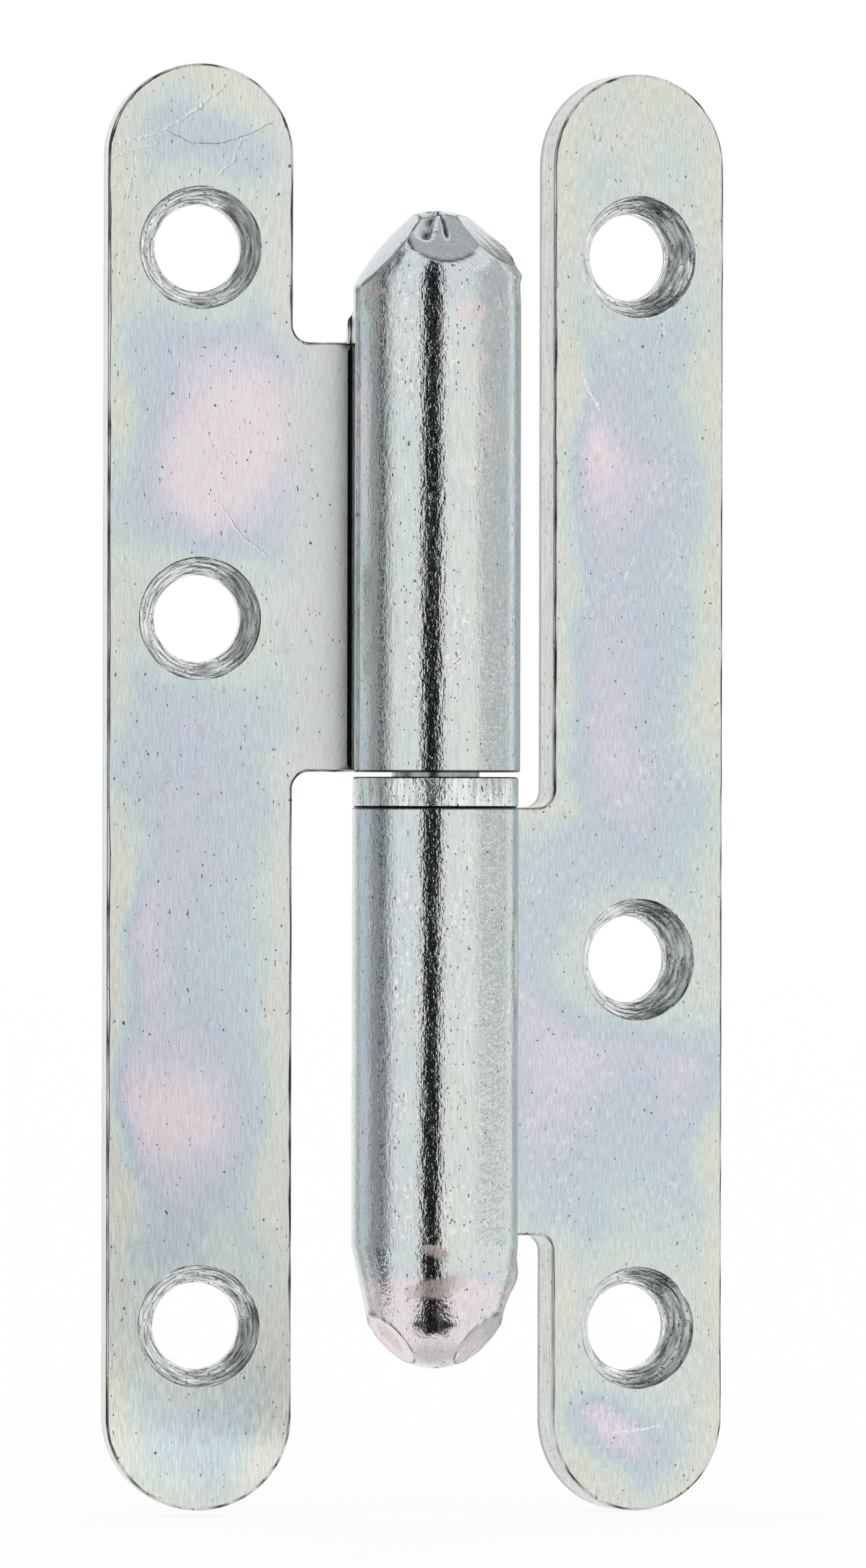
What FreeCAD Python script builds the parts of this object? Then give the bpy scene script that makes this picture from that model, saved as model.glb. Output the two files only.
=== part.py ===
import FreeCAD
import Part
import Sketcher
import os

# Lift-off hinge: two stamped leaves with rolled knuckles, a hinge pin and a spacer ring.
# Frame: +Z runs up the hinge pin and -Y points out of the frame leaf's countersunk face.
# The origin is on the frame leaf's back face, half-way up the line of its screw holes.

SHEET_NAME = "sizes"

# Driving sizes in millimetres and degrees
SIZES = {
    # Leaf blank
    "leaf_length": 110.0,
    "door_leaf_reach": 24.7,
    "frame_leaf_reach": 25.5,
    "strip_width": 14.2,
    "sheet_thickness": 3.0,
    "web_height": 32.7,
    "web_corner_radius": 1.3,
    # Screw holes
    "screw_hole_diameter": 6.6,
    "countersink_diameter": 9.4,
    "countersink_angle": 70.0,
    "screw_end_distance": 14.0,
    "middle_screw_height": 12.8,
    # Rolled knuckle
    "knuckle_length": 42.6,
    "curl_root_reach": 6.3,
    "tail_flat_depth": 0.35,
    "seam_gap": 0.3,
    "notch_margin": 0.2,
    "dome_facet_count": 6,
    "dome_seam_width": 0.25,
    "dome_seam_depth": 0.9,
    "dome_seam_end_depth": 0.15,
    # Closed end of the door leaf's knuckle, a blunt dome
    "door_cap_thickness": 5.0,
    "door_shoulder_inset": 0.1,
    "door_shoulder_drop": 4.9,
    "door_taper_drop": 7.3,
    "door_facet_tip_radius": 1.65,
    "door_facet_low_radius": 5.88,
    "door_facet_drop": 3.85,
    "door_seam_reach": 3.6,
    # Closed end of the frame leaf's knuckle, drawn out like a bullet
    "frame_cap_thickness": 5.0,
    "frame_shoulder_inset": 1.25,
    "frame_shoulder_drop": 3.4,
    "frame_taper_drop": 9.4,
    "frame_facet_tip_radius": 1.8,
    "frame_facet_low_radius": 5.03,
    "frame_facet_drop": 3.3,
    "frame_seam_reach": 2.4,
    # Pin and spacer ring
    "pin_diameter": 6.7,
    "running_clearance": 0.1,
    "pin_rise": 31.0,
    "pin_tip_chamfer": 1.2,
    "pin_foot_chamfer": 0.6,
    "pin_foot_clearance": 0.3,
    "ring_thickness": 2.3,
    "ring_diameter": 12.6,
    "ring_edge_chamfer": 0.25,
    # Rest position: how far the door leaf stands open past flat, and how far off the ring
    "rest_angle": 15.4,
    "rest_lift": 0.35,
}


def cell(name):
    """Returns the expression for one size on the sheet."""
    return f"{SHEET_NAME}.{name}"


# Sizes that follow from the driving ones
PIN_RADIUS = f"({cell('pin_diameter')} / 2)"
RUNNING_RADIUS = f"({PIN_RADIUS} + {cell('running_clearance')})"
KNUCKLE_START = f"({cell('ring_thickness')} / 2)"
KNUCKLE_TOP = f"({KNUCKLE_START} + {cell('knuckle_length')})"
WEB_TOP = f"({KNUCKLE_START} + {cell('web_height')})"
STRIP_ROUND = f"({cell('leaf_length')} / 2 - {cell('strip_width')} / 2)"
FRAME_KNUCKLE_RADIUS = f"({PIN_RADIUS} + {cell('sheet_thickness')})"
FRAME_SCREW_LINE = f"({cell('frame_leaf_reach')} - {cell('strip_width')} / 2)"

doc = FreeCAD.newDocument("lift_off_hinge")
sheet = doc.addObject("Spreadsheet::Sheet", SHEET_NAME)
for row, (size_name, size) in enumerate(SIZES.items(), start=1):
    sheet.set(f"A{row}", size_name)
    sheet.set(f"B{row}", str(size))
    sheet.setAlias(f"B{row}", size_name)
doc.recompute()


class Outline:
    """A closed outline in a sketch, with every corner and radius tied to the sheet."""

    def __init__(self, sketch, x, y):
        self.sketch = sketch
        self.corners = [(x, y, "")]
        self.stretches = []

    def value(self, expression):
        """Returns what an expression comes to now."""
        return float(self.sketch.evalExpression(expression))

    def line_to(self, x, y):
        """Draws straight to a corner."""
        self.stretches.append({"kind": "line"})
        self.corners.append((x, y, ""))

    def arc_to(self, x, y, radius, clockwise=False):
        """Draws an arc of a stated radius to a corner."""
        self.stretches.append({"kind": "arc", "radius": radius, "clockwise": clockwise})
        self.corners.append((x, y, ""))

    def arc_about(self, x, y, centre, clockwise=False, loose="y"):
        """Draws an arc about a stated centre, which itself sets the corner's loose coordinate."""
        self.stretches.append({"kind": "arc", "centre": centre, "clockwise": clockwise})
        self.corners.append((x, y, loose))

    def loosen_last(self, axis):
        """Leaves one coordinate of the newest corner to the arc that starts there."""
        x, y, _ = self.corners[-1]
        self.corners[-1] = (x, y, axis)

    def close(self, loose_start=""):
        """Makes the sketch's geometry and constraints. The last corner is the first one again."""
        x, y, _ = self.corners[0]
        self.corners[0] = (x, y, loose_start)
        self.corners.pop()
        points = [FreeCAD.Vector(self.value(px), self.value(py), 0) for px, py, _ in self.corners]
        starts = []
        ends = []
        for number, stretch in enumerate(self.stretches):
            first = points[number]
            last = points[(number + 1) % len(points)]
            geometry, start_end, finish_end = self.shape(stretch, first, last)
            index = self.sketch.addGeometry(geometry, False)
            starts.append((index, start_end))
            ends.append((index, finish_end))
        for number, (index, end) in enumerate(ends):
            self.sketch.addConstraint(
                Sketcher.Constraint("Coincident", index, end, *starts[(number + 1) % len(starts)])
            )
        for number, (x, y, loose) in enumerate(self.corners):
            if loose != "x":
                self.tie("DistanceX", starts[number], x, f"x{number}")
            if loose != "y":
                self.tie("DistanceY", starts[number], y, f"y{number}")
        for number, stretch in enumerate(self.stretches):
            index = starts[number][0]
            if "centre" in stretch:
                self.tie("DistanceX", (index, 3), stretch["centre"][0], f"centre_x{number}")
                self.tie("DistanceY", (index, 3), stretch["centre"][1], f"centre_y{number}")
            elif "radius" in stretch:
                radius = self.value(stretch["radius"])
                constraint = self.sketch.addConstraint(Sketcher.Constraint("Radius", index, radius))
                self.name(constraint, f"radius{number}", stretch["radius"])

    def shape(self, stretch, first, last):
        """Returns one stretch's geometry, and which of its ends are its start and finish."""
        if stretch["kind"] == "line":
            return Part.LineSegment(first, last), 1, 2
        if "centre" in stretch:
            centre = FreeCAD.Vector(*(self.value(part) for part in stretch["centre"]), 0)
        else:
            centre = self.arc_centre(stretch, first, last)
        start, finish = (last, first) if stretch["clockwise"] else (first, last)
        zero = FreeCAD.Vector(1, 0, 0)
        angles = []
        for point in (start, finish):
            arm = point - centre
            angle = zero.getAngle(arm)
            angles.append(angle if arm.y >= 0 else -angle)
        circle = Part.Circle(centre, FreeCAD.Vector(0, 0, 1), (first - centre).Length)
        arc = Part.ArcOfCircle(circle, *angles)
        return (arc, 2, 1) if stretch["clockwise"] else (arc, 1, 2)

    def arc_centre(self, stretch, first, last):
        """Returns the centre of an arc from its two ends, radius and direction."""
        radius = self.value(stretch["radius"])
        chord = last - first
        rise = max(radius ** 2 - (chord.Length / 2) ** 2, 0) ** 0.5
        left = FreeCAD.Vector(-chord.y, chord.x, 0).normalize()
        side = -1 if stretch["clockwise"] else 1
        return (first + last) * 0.5 + left * (rise * side)

    def tie(self, kind, point, expression, name):
        """Fixes one coordinate of a point."""
        if expression == "0":
            axis = -2 if kind == "DistanceX" else -1
            self.sketch.addConstraint(Sketcher.Constraint("PointOnObject", *point, axis))
            return
        constraint = self.sketch.addConstraint(Sketcher.Constraint(kind, *point, self.value(expression)))
        self.name(constraint, name, expression)

    def name(self, constraint, name, expression):
        """Names a constraint and ties it to the sheet."""
        self.sketch.renameConstraint(constraint, name)
        self.sketch.setExpression(f"Constraints.{name}", expression)


def new_body(label):
    """Returns an empty body for one sub-part."""
    body = doc.addObject("PartDesign::Body", label)
    body.Label = label
    return body


def origin_feature(body, role):
    """Returns one of the body's own planes or axes."""
    return next(part for part in body.Origin.OriginFeatures if part.Role == role)


def new_sketch(body, name, plane, offset=None):
    """Returns a sketch on one of the body's planes, moved along the plane's normal."""
    sketch = body.newObject("Sketcher::SketchObject", f"{body.Name}_{name}")
    sketch.AttachmentSupport = [(origin_feature(body, plane), "")]
    sketch.MapMode = "FlatFace"
    if offset is not None:
        sketch.setExpression("AttachmentOffset.Base.z", offset)
    doc.recompute()
    return sketch


def new_feature(body, kind, name, sketch, **sizes):
    """Returns a feature made from a sketch, with the named properties tied to the sheet."""
    feature = body.newObject(f"PartDesign::{kind}", f"{body.Name}_{name}")
    feature.Profile = sketch
    for property_name, expression in sizes.items():
        feature.setExpression(property_name, expression)
    return feature


def turn_about_sketch_axis(feature, sketch):
    """Sets a turned feature to go right round its sketch's vertical axis."""
    feature.ReferenceAxis = (sketch, ["V_Axis"])
    feature.Angle = 360.0


def cut_volume(body, feature, volume_before):
    """Stops the build where a cut took nothing away."""
    doc.recompute()
    if body.Shape.Volume >= volume_before:
        raise RuntimeError(f"{feature.Name} cuts nothing")


class Leaf:
    """A stamped leaf with its rolled knuckle, drawn as the door leaf: strip to -X, knuckle up."""

    def __init__(self, label, kind, bore_radius, facet_plane):
        self.body = new_body(label)
        self.kind = kind
        self.bore = bore_radius
        self.radius = f"({bore_radius} + {cell('sheet_thickness')})"
        self.facet_plane = facet_plane
        self.screw_line = f"({self.own('leaf_reach')} - {cell('strip_width')} / 2)"
        self.tail_side = f"({self.radius} - {cell('tail_flat_depth')})"
        self.corner_reach = f"(sqrt({cell('curl_root_reach')}^2 + {self.radius}^2) + {cell('notch_margin')})"
        self.build()

    def own(self, name):
        """Returns the expression for a size that this leaf has by itself."""
        return cell(f"{self.kind}_{name}")

    def below_tip(self, drop):
        """Returns the expression for a height given by its drop below the knuckle's tip."""
        return f"({KNUCKLE_TOP} - {self.own(drop)})"

    def build(self):
        """Adds the leaf's features in the order in which the real one is made."""
        self.stamp_blank()
        self.roll_knuckle()
        self.close_end()
        self.shape_end()
        self.press_facets()
        self.open_seam()
        self.drill_screw_holes()

    def stamp_blank(self):
        """Stamps the round-ended strip and the web that joins it to the knuckle."""
        sketch = new_sketch(self.body, "blank", "XZ_Plane", f"-{self.radius}")
        outer = f"-{self.own('leaf_reach')}"
        inner = f"-({self.own('leaf_reach')} - {cell('strip_width')})"
        middle = f"-{self.screw_line}"
        corner = cell("web_corner_radius")
        outline = Outline(sketch, outer, f"-{STRIP_ROUND}")
        outline.arc_about(inner, f"-{STRIP_ROUND}", (middle, f"-{STRIP_ROUND}"), loose="x")
        outline.line_to(inner, f"{KNUCKLE_START} - {corner}")
        outline.arc_to(f"{inner} + {corner}", KNUCKLE_START, corner, clockwise=True)
        outline.line_to("0", KNUCKLE_START)
        outline.line_to("0", WEB_TOP)
        outline.line_to(f"{inner} + {corner}", WEB_TOP)
        outline.arc_to(inner, f"{WEB_TOP} + {corner}", corner, clockwise=True)
        outline.line_to(inner, STRIP_ROUND)
        outline.arc_about(outer, STRIP_ROUND, (middle, STRIP_ROUND), loose="x")
        outline.line_to(outer, f"-{STRIP_ROUND}")
        outline.close()
        new_feature(self.body, "Pad", "blank_pad", sketch, Length=cell("sheet_thickness"))

    def roll_knuckle(self):
        """Rolls the tab round the pin, back to a straight tail that ends just off the leaf."""
        sketch = new_sketch(self.body, "curl", "XY_Plane", KNUCKLE_START)
        root = f"-{cell('curl_root_reach')}"
        tail_inner = f"({self.bore} - {cell('tail_flat_depth')})"
        tail_end = f"{self.bore} - {cell('seam_gap')}"
        outline = Outline(sketch, root, self.radius)
        outline.line_to("0", self.radius)
        outline.arc_about(
            f"-{self.tail_side}", f"-sqrt({self.radius}^2 - {self.tail_side}^2)", ("0", "0"), clockwise=True
        )
        outline.line_to(f"-{self.tail_side}", tail_end)
        outline.line_to(f"-{tail_inner}", tail_end)
        outline.line_to(f"-{tail_inner}", f"sqrt({self.bore}^2 - {tail_inner}^2)")
        outline.loosen_last("y")
        outline.arc_about("0", self.bore, ("0", "0"), loose="")
        outline.line_to(root, self.bore)
        outline.line_to(root, self.radius)
        outline.close()
        new_feature(self.body, "Pad", "curl_pad", sketch, Length=cell("knuckle_length"))

    def close_end(self):
        """Fills the far end of the knuckle, where the tab is swaged shut."""
        sketch = new_sketch(self.body, "cap", "XY_Plane", self.below_tip("cap_thickness"))
        radius = float(sketch.evalExpression(self.tail_side))
        circle = sketch.addGeometry(Part.Circle(FreeCAD.Vector(), FreeCAD.Vector(0, 0, 1), radius))
        sketch.addConstraint(Sketcher.Constraint("Coincident", circle, 3, -1, 1))
        ring = sketch.addConstraint(Sketcher.Constraint("Radius", circle, radius))
        sketch.renameConstraint(ring, "cap_radius")
        sketch.setExpression("Constraints.cap_radius", self.tail_side)
        new_feature(self.body, "Pad", "cap_pad", sketch, Length=self.own("cap_thickness"))

    def shape_end(self):
        """Turns the closed end to a part of a sphere, with a short taper below its shoulder."""
        doc.recompute()
        volume = self.body.Shape.Volume
        sketch = new_sketch(self.body, "dome", "XZ_Plane")
        above = f"({KNUCKLE_TOP} + {cell('notch_margin')})"
        edge = f"({self.radius} - {self.own('shoulder_inset')})"
        drop = self.own("shoulder_drop")
        outline = Outline(sketch, "0", KNUCKLE_TOP)
        outline.arc_to(
            edge,
            self.below_tip("shoulder_drop"),
            f"({edge}^2 + {drop}^2) / (2 * {drop})",
            clockwise=True,
        )
        outline.line_to(self.radius, self.below_tip("taper_drop"))
        outline.line_to(self.corner_reach, f"{WEB_TOP} + {cell('notch_margin')}")
        outline.line_to(self.corner_reach, above)
        outline.line_to("0", above)
        outline.line_to("0", KNUCKLE_TOP)
        outline.close()
        groove = new_feature(self.body, "Groove", "dome_groove", sketch)
        turn_about_sketch_axis(groove, sketch)
        cut_volume(self.body, groove, volume)

    def press_facets(self):
        """Presses the flats of the swaging jaws round the dome."""
        volume = self.body.Shape.Volume
        sketch = new_sketch(self.body, "facet", self.facet_plane)
        low = self.below_tip("facet_drop")
        outline = Outline(sketch, self.own("facet_tip_radius"), KNUCKLE_TOP)
        outline.line_to(self.own("facet_low_radius"), low)
        outline.line_to(self.radius, low)
        outline.line_to(self.radius, KNUCKLE_TOP)
        outline.line_to(self.own("facet_tip_radius"), KNUCKLE_TOP)
        outline.close()
        facet = new_feature(self.body, "Pocket", "facet_pocket", sketch, Length=f"2 * {self.radius}")
        facet.SideType = "Symmetric"
        cut_volume(self.body, facet, volume)
        pattern = self.body.newObject("PartDesign::PolarPattern", f"{self.body.Name}_facets")
        pattern.Originals = [facet]
        pattern.Axis = (origin_feature(self.body, "Z_Axis"), [""])
        pattern.Angle = 360.0
        pattern.setExpression("Occurrences", cell("dome_facet_count"))
        self.body.Tip = pattern
        doc.recompute()

    def open_seam(self):
        """Cuts the narrow seam that the swaged sheet leaves at the tip, on the front side."""
        volume = self.body.Shape.Volume
        sketch = new_sketch(self.body, "seam", "YZ_Plane")
        reach = self.own("seam_reach")
        tip = self.own("facet_tip_radius")
        slope = f"{self.own('facet_drop')} / ({self.own('facet_low_radius')} - {tip})"
        fall = f"max({reach} - {tip}; 0) * {slope}"
        end_height = f"{KNUCKLE_TOP} - {fall} - {cell('dome_seam_end_depth')}"
        outline = Outline(sketch, "0", KNUCKLE_TOP)
        outline.line_to("0", f"{KNUCKLE_TOP} - {cell('dome_seam_depth')}")
        outline.line_to(f"-{reach}", end_height)
        outline.line_to(f"-{reach}", KNUCKLE_TOP)
        outline.line_to("0", KNUCKLE_TOP)
        outline.close()
        seam = new_feature(self.body, "Pocket", "seam_pocket", sketch, Length=cell("dome_seam_width"))
        seam.SideType = "Symmetric"
        cut_volume(self.body, seam, volume)

    def drill_screw_holes(self):
        """Drills and countersinks the two end holes and the one beside the web."""
        volume = self.body.Shape.Volume
        sketch = new_sketch(self.body, "screw_holes", "XZ_Plane", f"-{self.bore}")
        end_height = f"({cell('leaf_length')} / 2 - {cell('screw_end_distance')})"
        heights = (end_height, cell("middle_screw_height"), f"-{end_height}")
        diameter = cell("screw_hole_diameter")
        across = f"-{self.screw_line}"
        for number, height in enumerate(heights):
            place = [float(sketch.evalExpression(part)) for part in (across, height)]
            radius = float(sketch.evalExpression(diameter)) / 2
            circle = Part.Circle(FreeCAD.Vector(*place, 0), FreeCAD.Vector(0, 0, 1), radius)
            index = sketch.addGeometry(circle)
            ties = (
                (Sketcher.Constraint("DistanceX", index, 3, place[0]), f"across{number}", across),
                (Sketcher.Constraint("DistanceY", index, 3, place[1]), f"height{number}", height),
                (Sketcher.Constraint("Diameter", index, radius * 2), f"bore{number}", diameter),
            )
            for constraint, name, expression in ties:
                sketch.renameConstraint(sketch.addConstraint(constraint), name)
                sketch.setExpression(f"Constraints.{name}", expression)
        doc.recompute()
        holes = new_feature(self.body, "Hole", "screw_holes_cut", sketch)
        holes.DepthType = "Dimension"
        holes.setExpression("Depth", cell("sheet_thickness"))
        holes.DrillPoint = "Flat"
        holes.setExpression("Diameter", diameter)
        holes.HoleCutType = "Countersink"
        holes.HoleCutCustomValues = True
        holes.setExpression("HoleCutDiameter", cell("countersink_diameter"))
        holes.setExpression("HoleCutCountersinkAngle", cell("countersink_angle"))
        cut_volume(self.body, holes, volume)


def make_pin():
    """Turns the hinge pin, with a chamfered foot in the frame leaf and a bevelled end above the ring."""
    body = new_body("hinge_pin")
    sketch = new_sketch(body, "profile", "XZ_Plane")
    cap_start = f"({KNUCKLE_TOP} - {cell('frame_cap_thickness')})"
    foot = f"-({cap_start} - {cell('pin_foot_clearance')})"
    chamfer = cell("pin_foot_chamfer")
    bevel = cell("pin_tip_chamfer")
    outline = Outline(sketch, "0", foot)
    outline.line_to(f"{PIN_RADIUS} - {chamfer}", foot)
    outline.line_to(PIN_RADIUS, f"{foot} + {chamfer}")
    outline.line_to(PIN_RADIUS, f"{cell('pin_rise')} - {bevel}")
    outline.line_to(f"{PIN_RADIUS} - {bevel}", cell("pin_rise"))
    outline.line_to("0", cell("pin_rise"))
    outline.line_to("0", foot)
    outline.close()
    turn_about_sketch_axis(new_feature(body, "Revolution", "turning", sketch), sketch)
    return body


def make_ring():
    """Turns the loose spacer ring, with bevelled outer edges."""
    body = new_body("spacer_ring")
    sketch = new_sketch(body, "profile", "XZ_Plane")
    half = KNUCKLE_START
    rim = f"{cell('ring_diameter')} / 2"
    bevel = cell("ring_edge_chamfer")
    outline = Outline(sketch, RUNNING_RADIUS, f"-{half}")
    outline.line_to(f"{rim} - {bevel}", f"-{half}")
    outline.line_to(rim, f"-{half} + {bevel}")
    outline.line_to(rim, f"{half} - {bevel}")
    outline.line_to(f"{rim} - {bevel}", half)
    outline.line_to(RUNNING_RADIUS, half)
    outline.line_to(RUNNING_RADIUS, f"-{half}")
    outline.close()
    turn_about_sketch_axis(new_feature(body, "Revolution", "turning", sketch), sketch)
    return body


def place_on_axis(body, lift=None):
    """Puts a sub-part on the hinge axis, in front of the frame leaf's back face."""
    body.setExpression("Placement.Base.x", f"-{FRAME_SCREW_LINE}")
    body.setExpression("Placement.Base.y", f"-{FRAME_KNUCKLE_RADIUS}")
    if lift is not None:
        body.setExpression("Placement.Base.z", lift)


# The frame leaf is the same leaf turned over end for end, tight on the pin
frame_leaf = Leaf("frame_leaf", "frame", PIN_RADIUS, "XZ_Plane").body
frame_leaf.Placement.Rotation = FreeCAD.Rotation(FreeCAD.Vector(0, 1, 0), 180)
place_on_axis(frame_leaf)

# The door leaf turns on the pin and stands open a little past flat
door_leaf = Leaf("door_leaf", "door", RUNNING_RADIUS, "YZ_Plane").body
door_leaf.Placement.Rotation = FreeCAD.Rotation(FreeCAD.Vector(0, 0, -1), 1)
door_leaf.setExpression("Placement.Rotation.Angle", cell("rest_angle"))
place_on_axis(door_leaf, cell("rest_lift"))

hinge_pin = make_pin()
place_on_axis(hinge_pin)

spacer_ring = make_ring()
place_on_axis(spacer_ring)

doc.recompute()

# Every object has to be sound before anything is written
for thing in doc.Objects:
    if "Invalid" in thing.State or "Error" in thing.State:
        raise RuntimeError(f"{thing.Name} failed: {thing.State}")
sub_parts = (frame_leaf, door_leaf, hinge_pin, spacer_ring)
for part in sub_parts:
    if part.Shape.isNull() or not part.Shape.isValid() or len(part.Shape.Solids) != 1:
        raise RuntimeError(f"{part.Label} is not one sound solid")

os.makedirs("parts", exist_ok=True)
for part in sub_parts:
    part.Shape.exportStep(f"parts/{part.Label}.step")
    print(f"{part.Label}: {part.Shape.Volume:.1f} mm3, {len(part.Shape.Faces)} faces, {part.Shape.BoundBox}")
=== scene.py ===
"""Dressed model of a zinc-plated lift-off hinge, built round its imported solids.

Sizes are in millimetres in the classes and become metres when a mesh is placed. A leaf is drawn in
its own frame: strip towards -X, back face towards +Y, knuckle towards +Z, hinge axis on Z.
"""

import logging
import math
from dataclasses import dataclass, field
from enum import Enum

import bmesh
import bpy
import numpy as np
from mathutils import Matrix, Vector, geometry, noise


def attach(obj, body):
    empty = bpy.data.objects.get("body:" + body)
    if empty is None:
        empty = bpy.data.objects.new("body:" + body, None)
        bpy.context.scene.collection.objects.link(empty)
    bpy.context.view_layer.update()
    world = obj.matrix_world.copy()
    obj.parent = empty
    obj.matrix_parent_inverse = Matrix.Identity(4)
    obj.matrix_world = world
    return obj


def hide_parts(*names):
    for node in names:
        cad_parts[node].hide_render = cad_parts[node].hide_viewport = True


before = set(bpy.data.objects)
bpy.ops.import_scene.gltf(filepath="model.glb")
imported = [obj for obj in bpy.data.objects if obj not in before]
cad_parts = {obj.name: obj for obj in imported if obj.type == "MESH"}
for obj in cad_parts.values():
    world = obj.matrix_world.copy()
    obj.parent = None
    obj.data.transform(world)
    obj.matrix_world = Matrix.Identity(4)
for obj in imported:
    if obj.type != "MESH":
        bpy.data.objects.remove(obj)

Array = np.ndarray
Colour = tuple[float, float, float]
Material = bpy.types.Material
Mesh = bpy.types.Mesh
Node = bpy.types.Node
Object = bpy.types.Object
Socket = bpy.types.NodeSocket
Tree = bpy.types.NodeTree
Value = Socket | float | tuple[float, ...]

log = logging.getLogger("lift_off_hinge")

MM = 0.001
HINGE_AXIS = np.array((-18.4, -6.35, 0.0))
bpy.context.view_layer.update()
BLANK_MAP = "blank"
MAP_SPAN = 120.0
DRIFT_LAYERS = (33.9, 39.2)
SKIN = 0.05

FLOAT = "NodeSocketFloat"
WHOLE = "NodeSocketInt"
VECTOR = "NodeSocketVector"
COLOUR = "NodeSocketColor"
GEOMETRY = "NodeSocketGeometry"


class Body(Enum):
    """The moving bodies of the hinge."""

    FRAME = "frame"
    SPACER = "spacer"
    DOOR = "door"


class Slot(Enum):
    """The material slots."""

    LEAF = "zinc_leaf"
    PIN = "pin_steel"
    RING = "zinc_ring"


class Region(Enum):
    """The parts of a leaf that have a finish of their own, in material order."""

    FACE = 0
    EDGE = 1
    SINK = 2
    KNUCKLE = 3


def smooth_step(low: float, high: float, value: Array | float) -> Array:
    """Ramps smoothly from 0 to 1.

    Args:
        low: Value at which the ramp starts.
        high: Value at which it ends.
        value: Values to ramp.

    Returns:
        The ramped values.
    """
    share = np.clip((value - low) / (high - low), 0.0, 1.0)
    return share * share * (3.0 - 2.0 * share)


def turned_off(angle: Array, middle: float) -> Array:
    """Returns how far angles lie from a middle one, from -180 to 180 degrees."""
    return np.mod(angle - middle + 180.0, 360.0) - 180.0


def noise_at(places: Array) -> Array:
    """Returns smooth noise from -1 to 1 at each place."""
    return np.array([noise.noise(Vector(place)) for place in places])


def add_object(name: str, mesh: Mesh) -> Object:
    """Adds a mesh to the scene as an object.

    Args:
        name: The object's name.
        mesh: The mesh.

    Returns:
        The object.
    """
    made = bpy.data.objects.new(name, mesh)
    bpy.context.scene.collection.objects.link(made)
    return made


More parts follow.
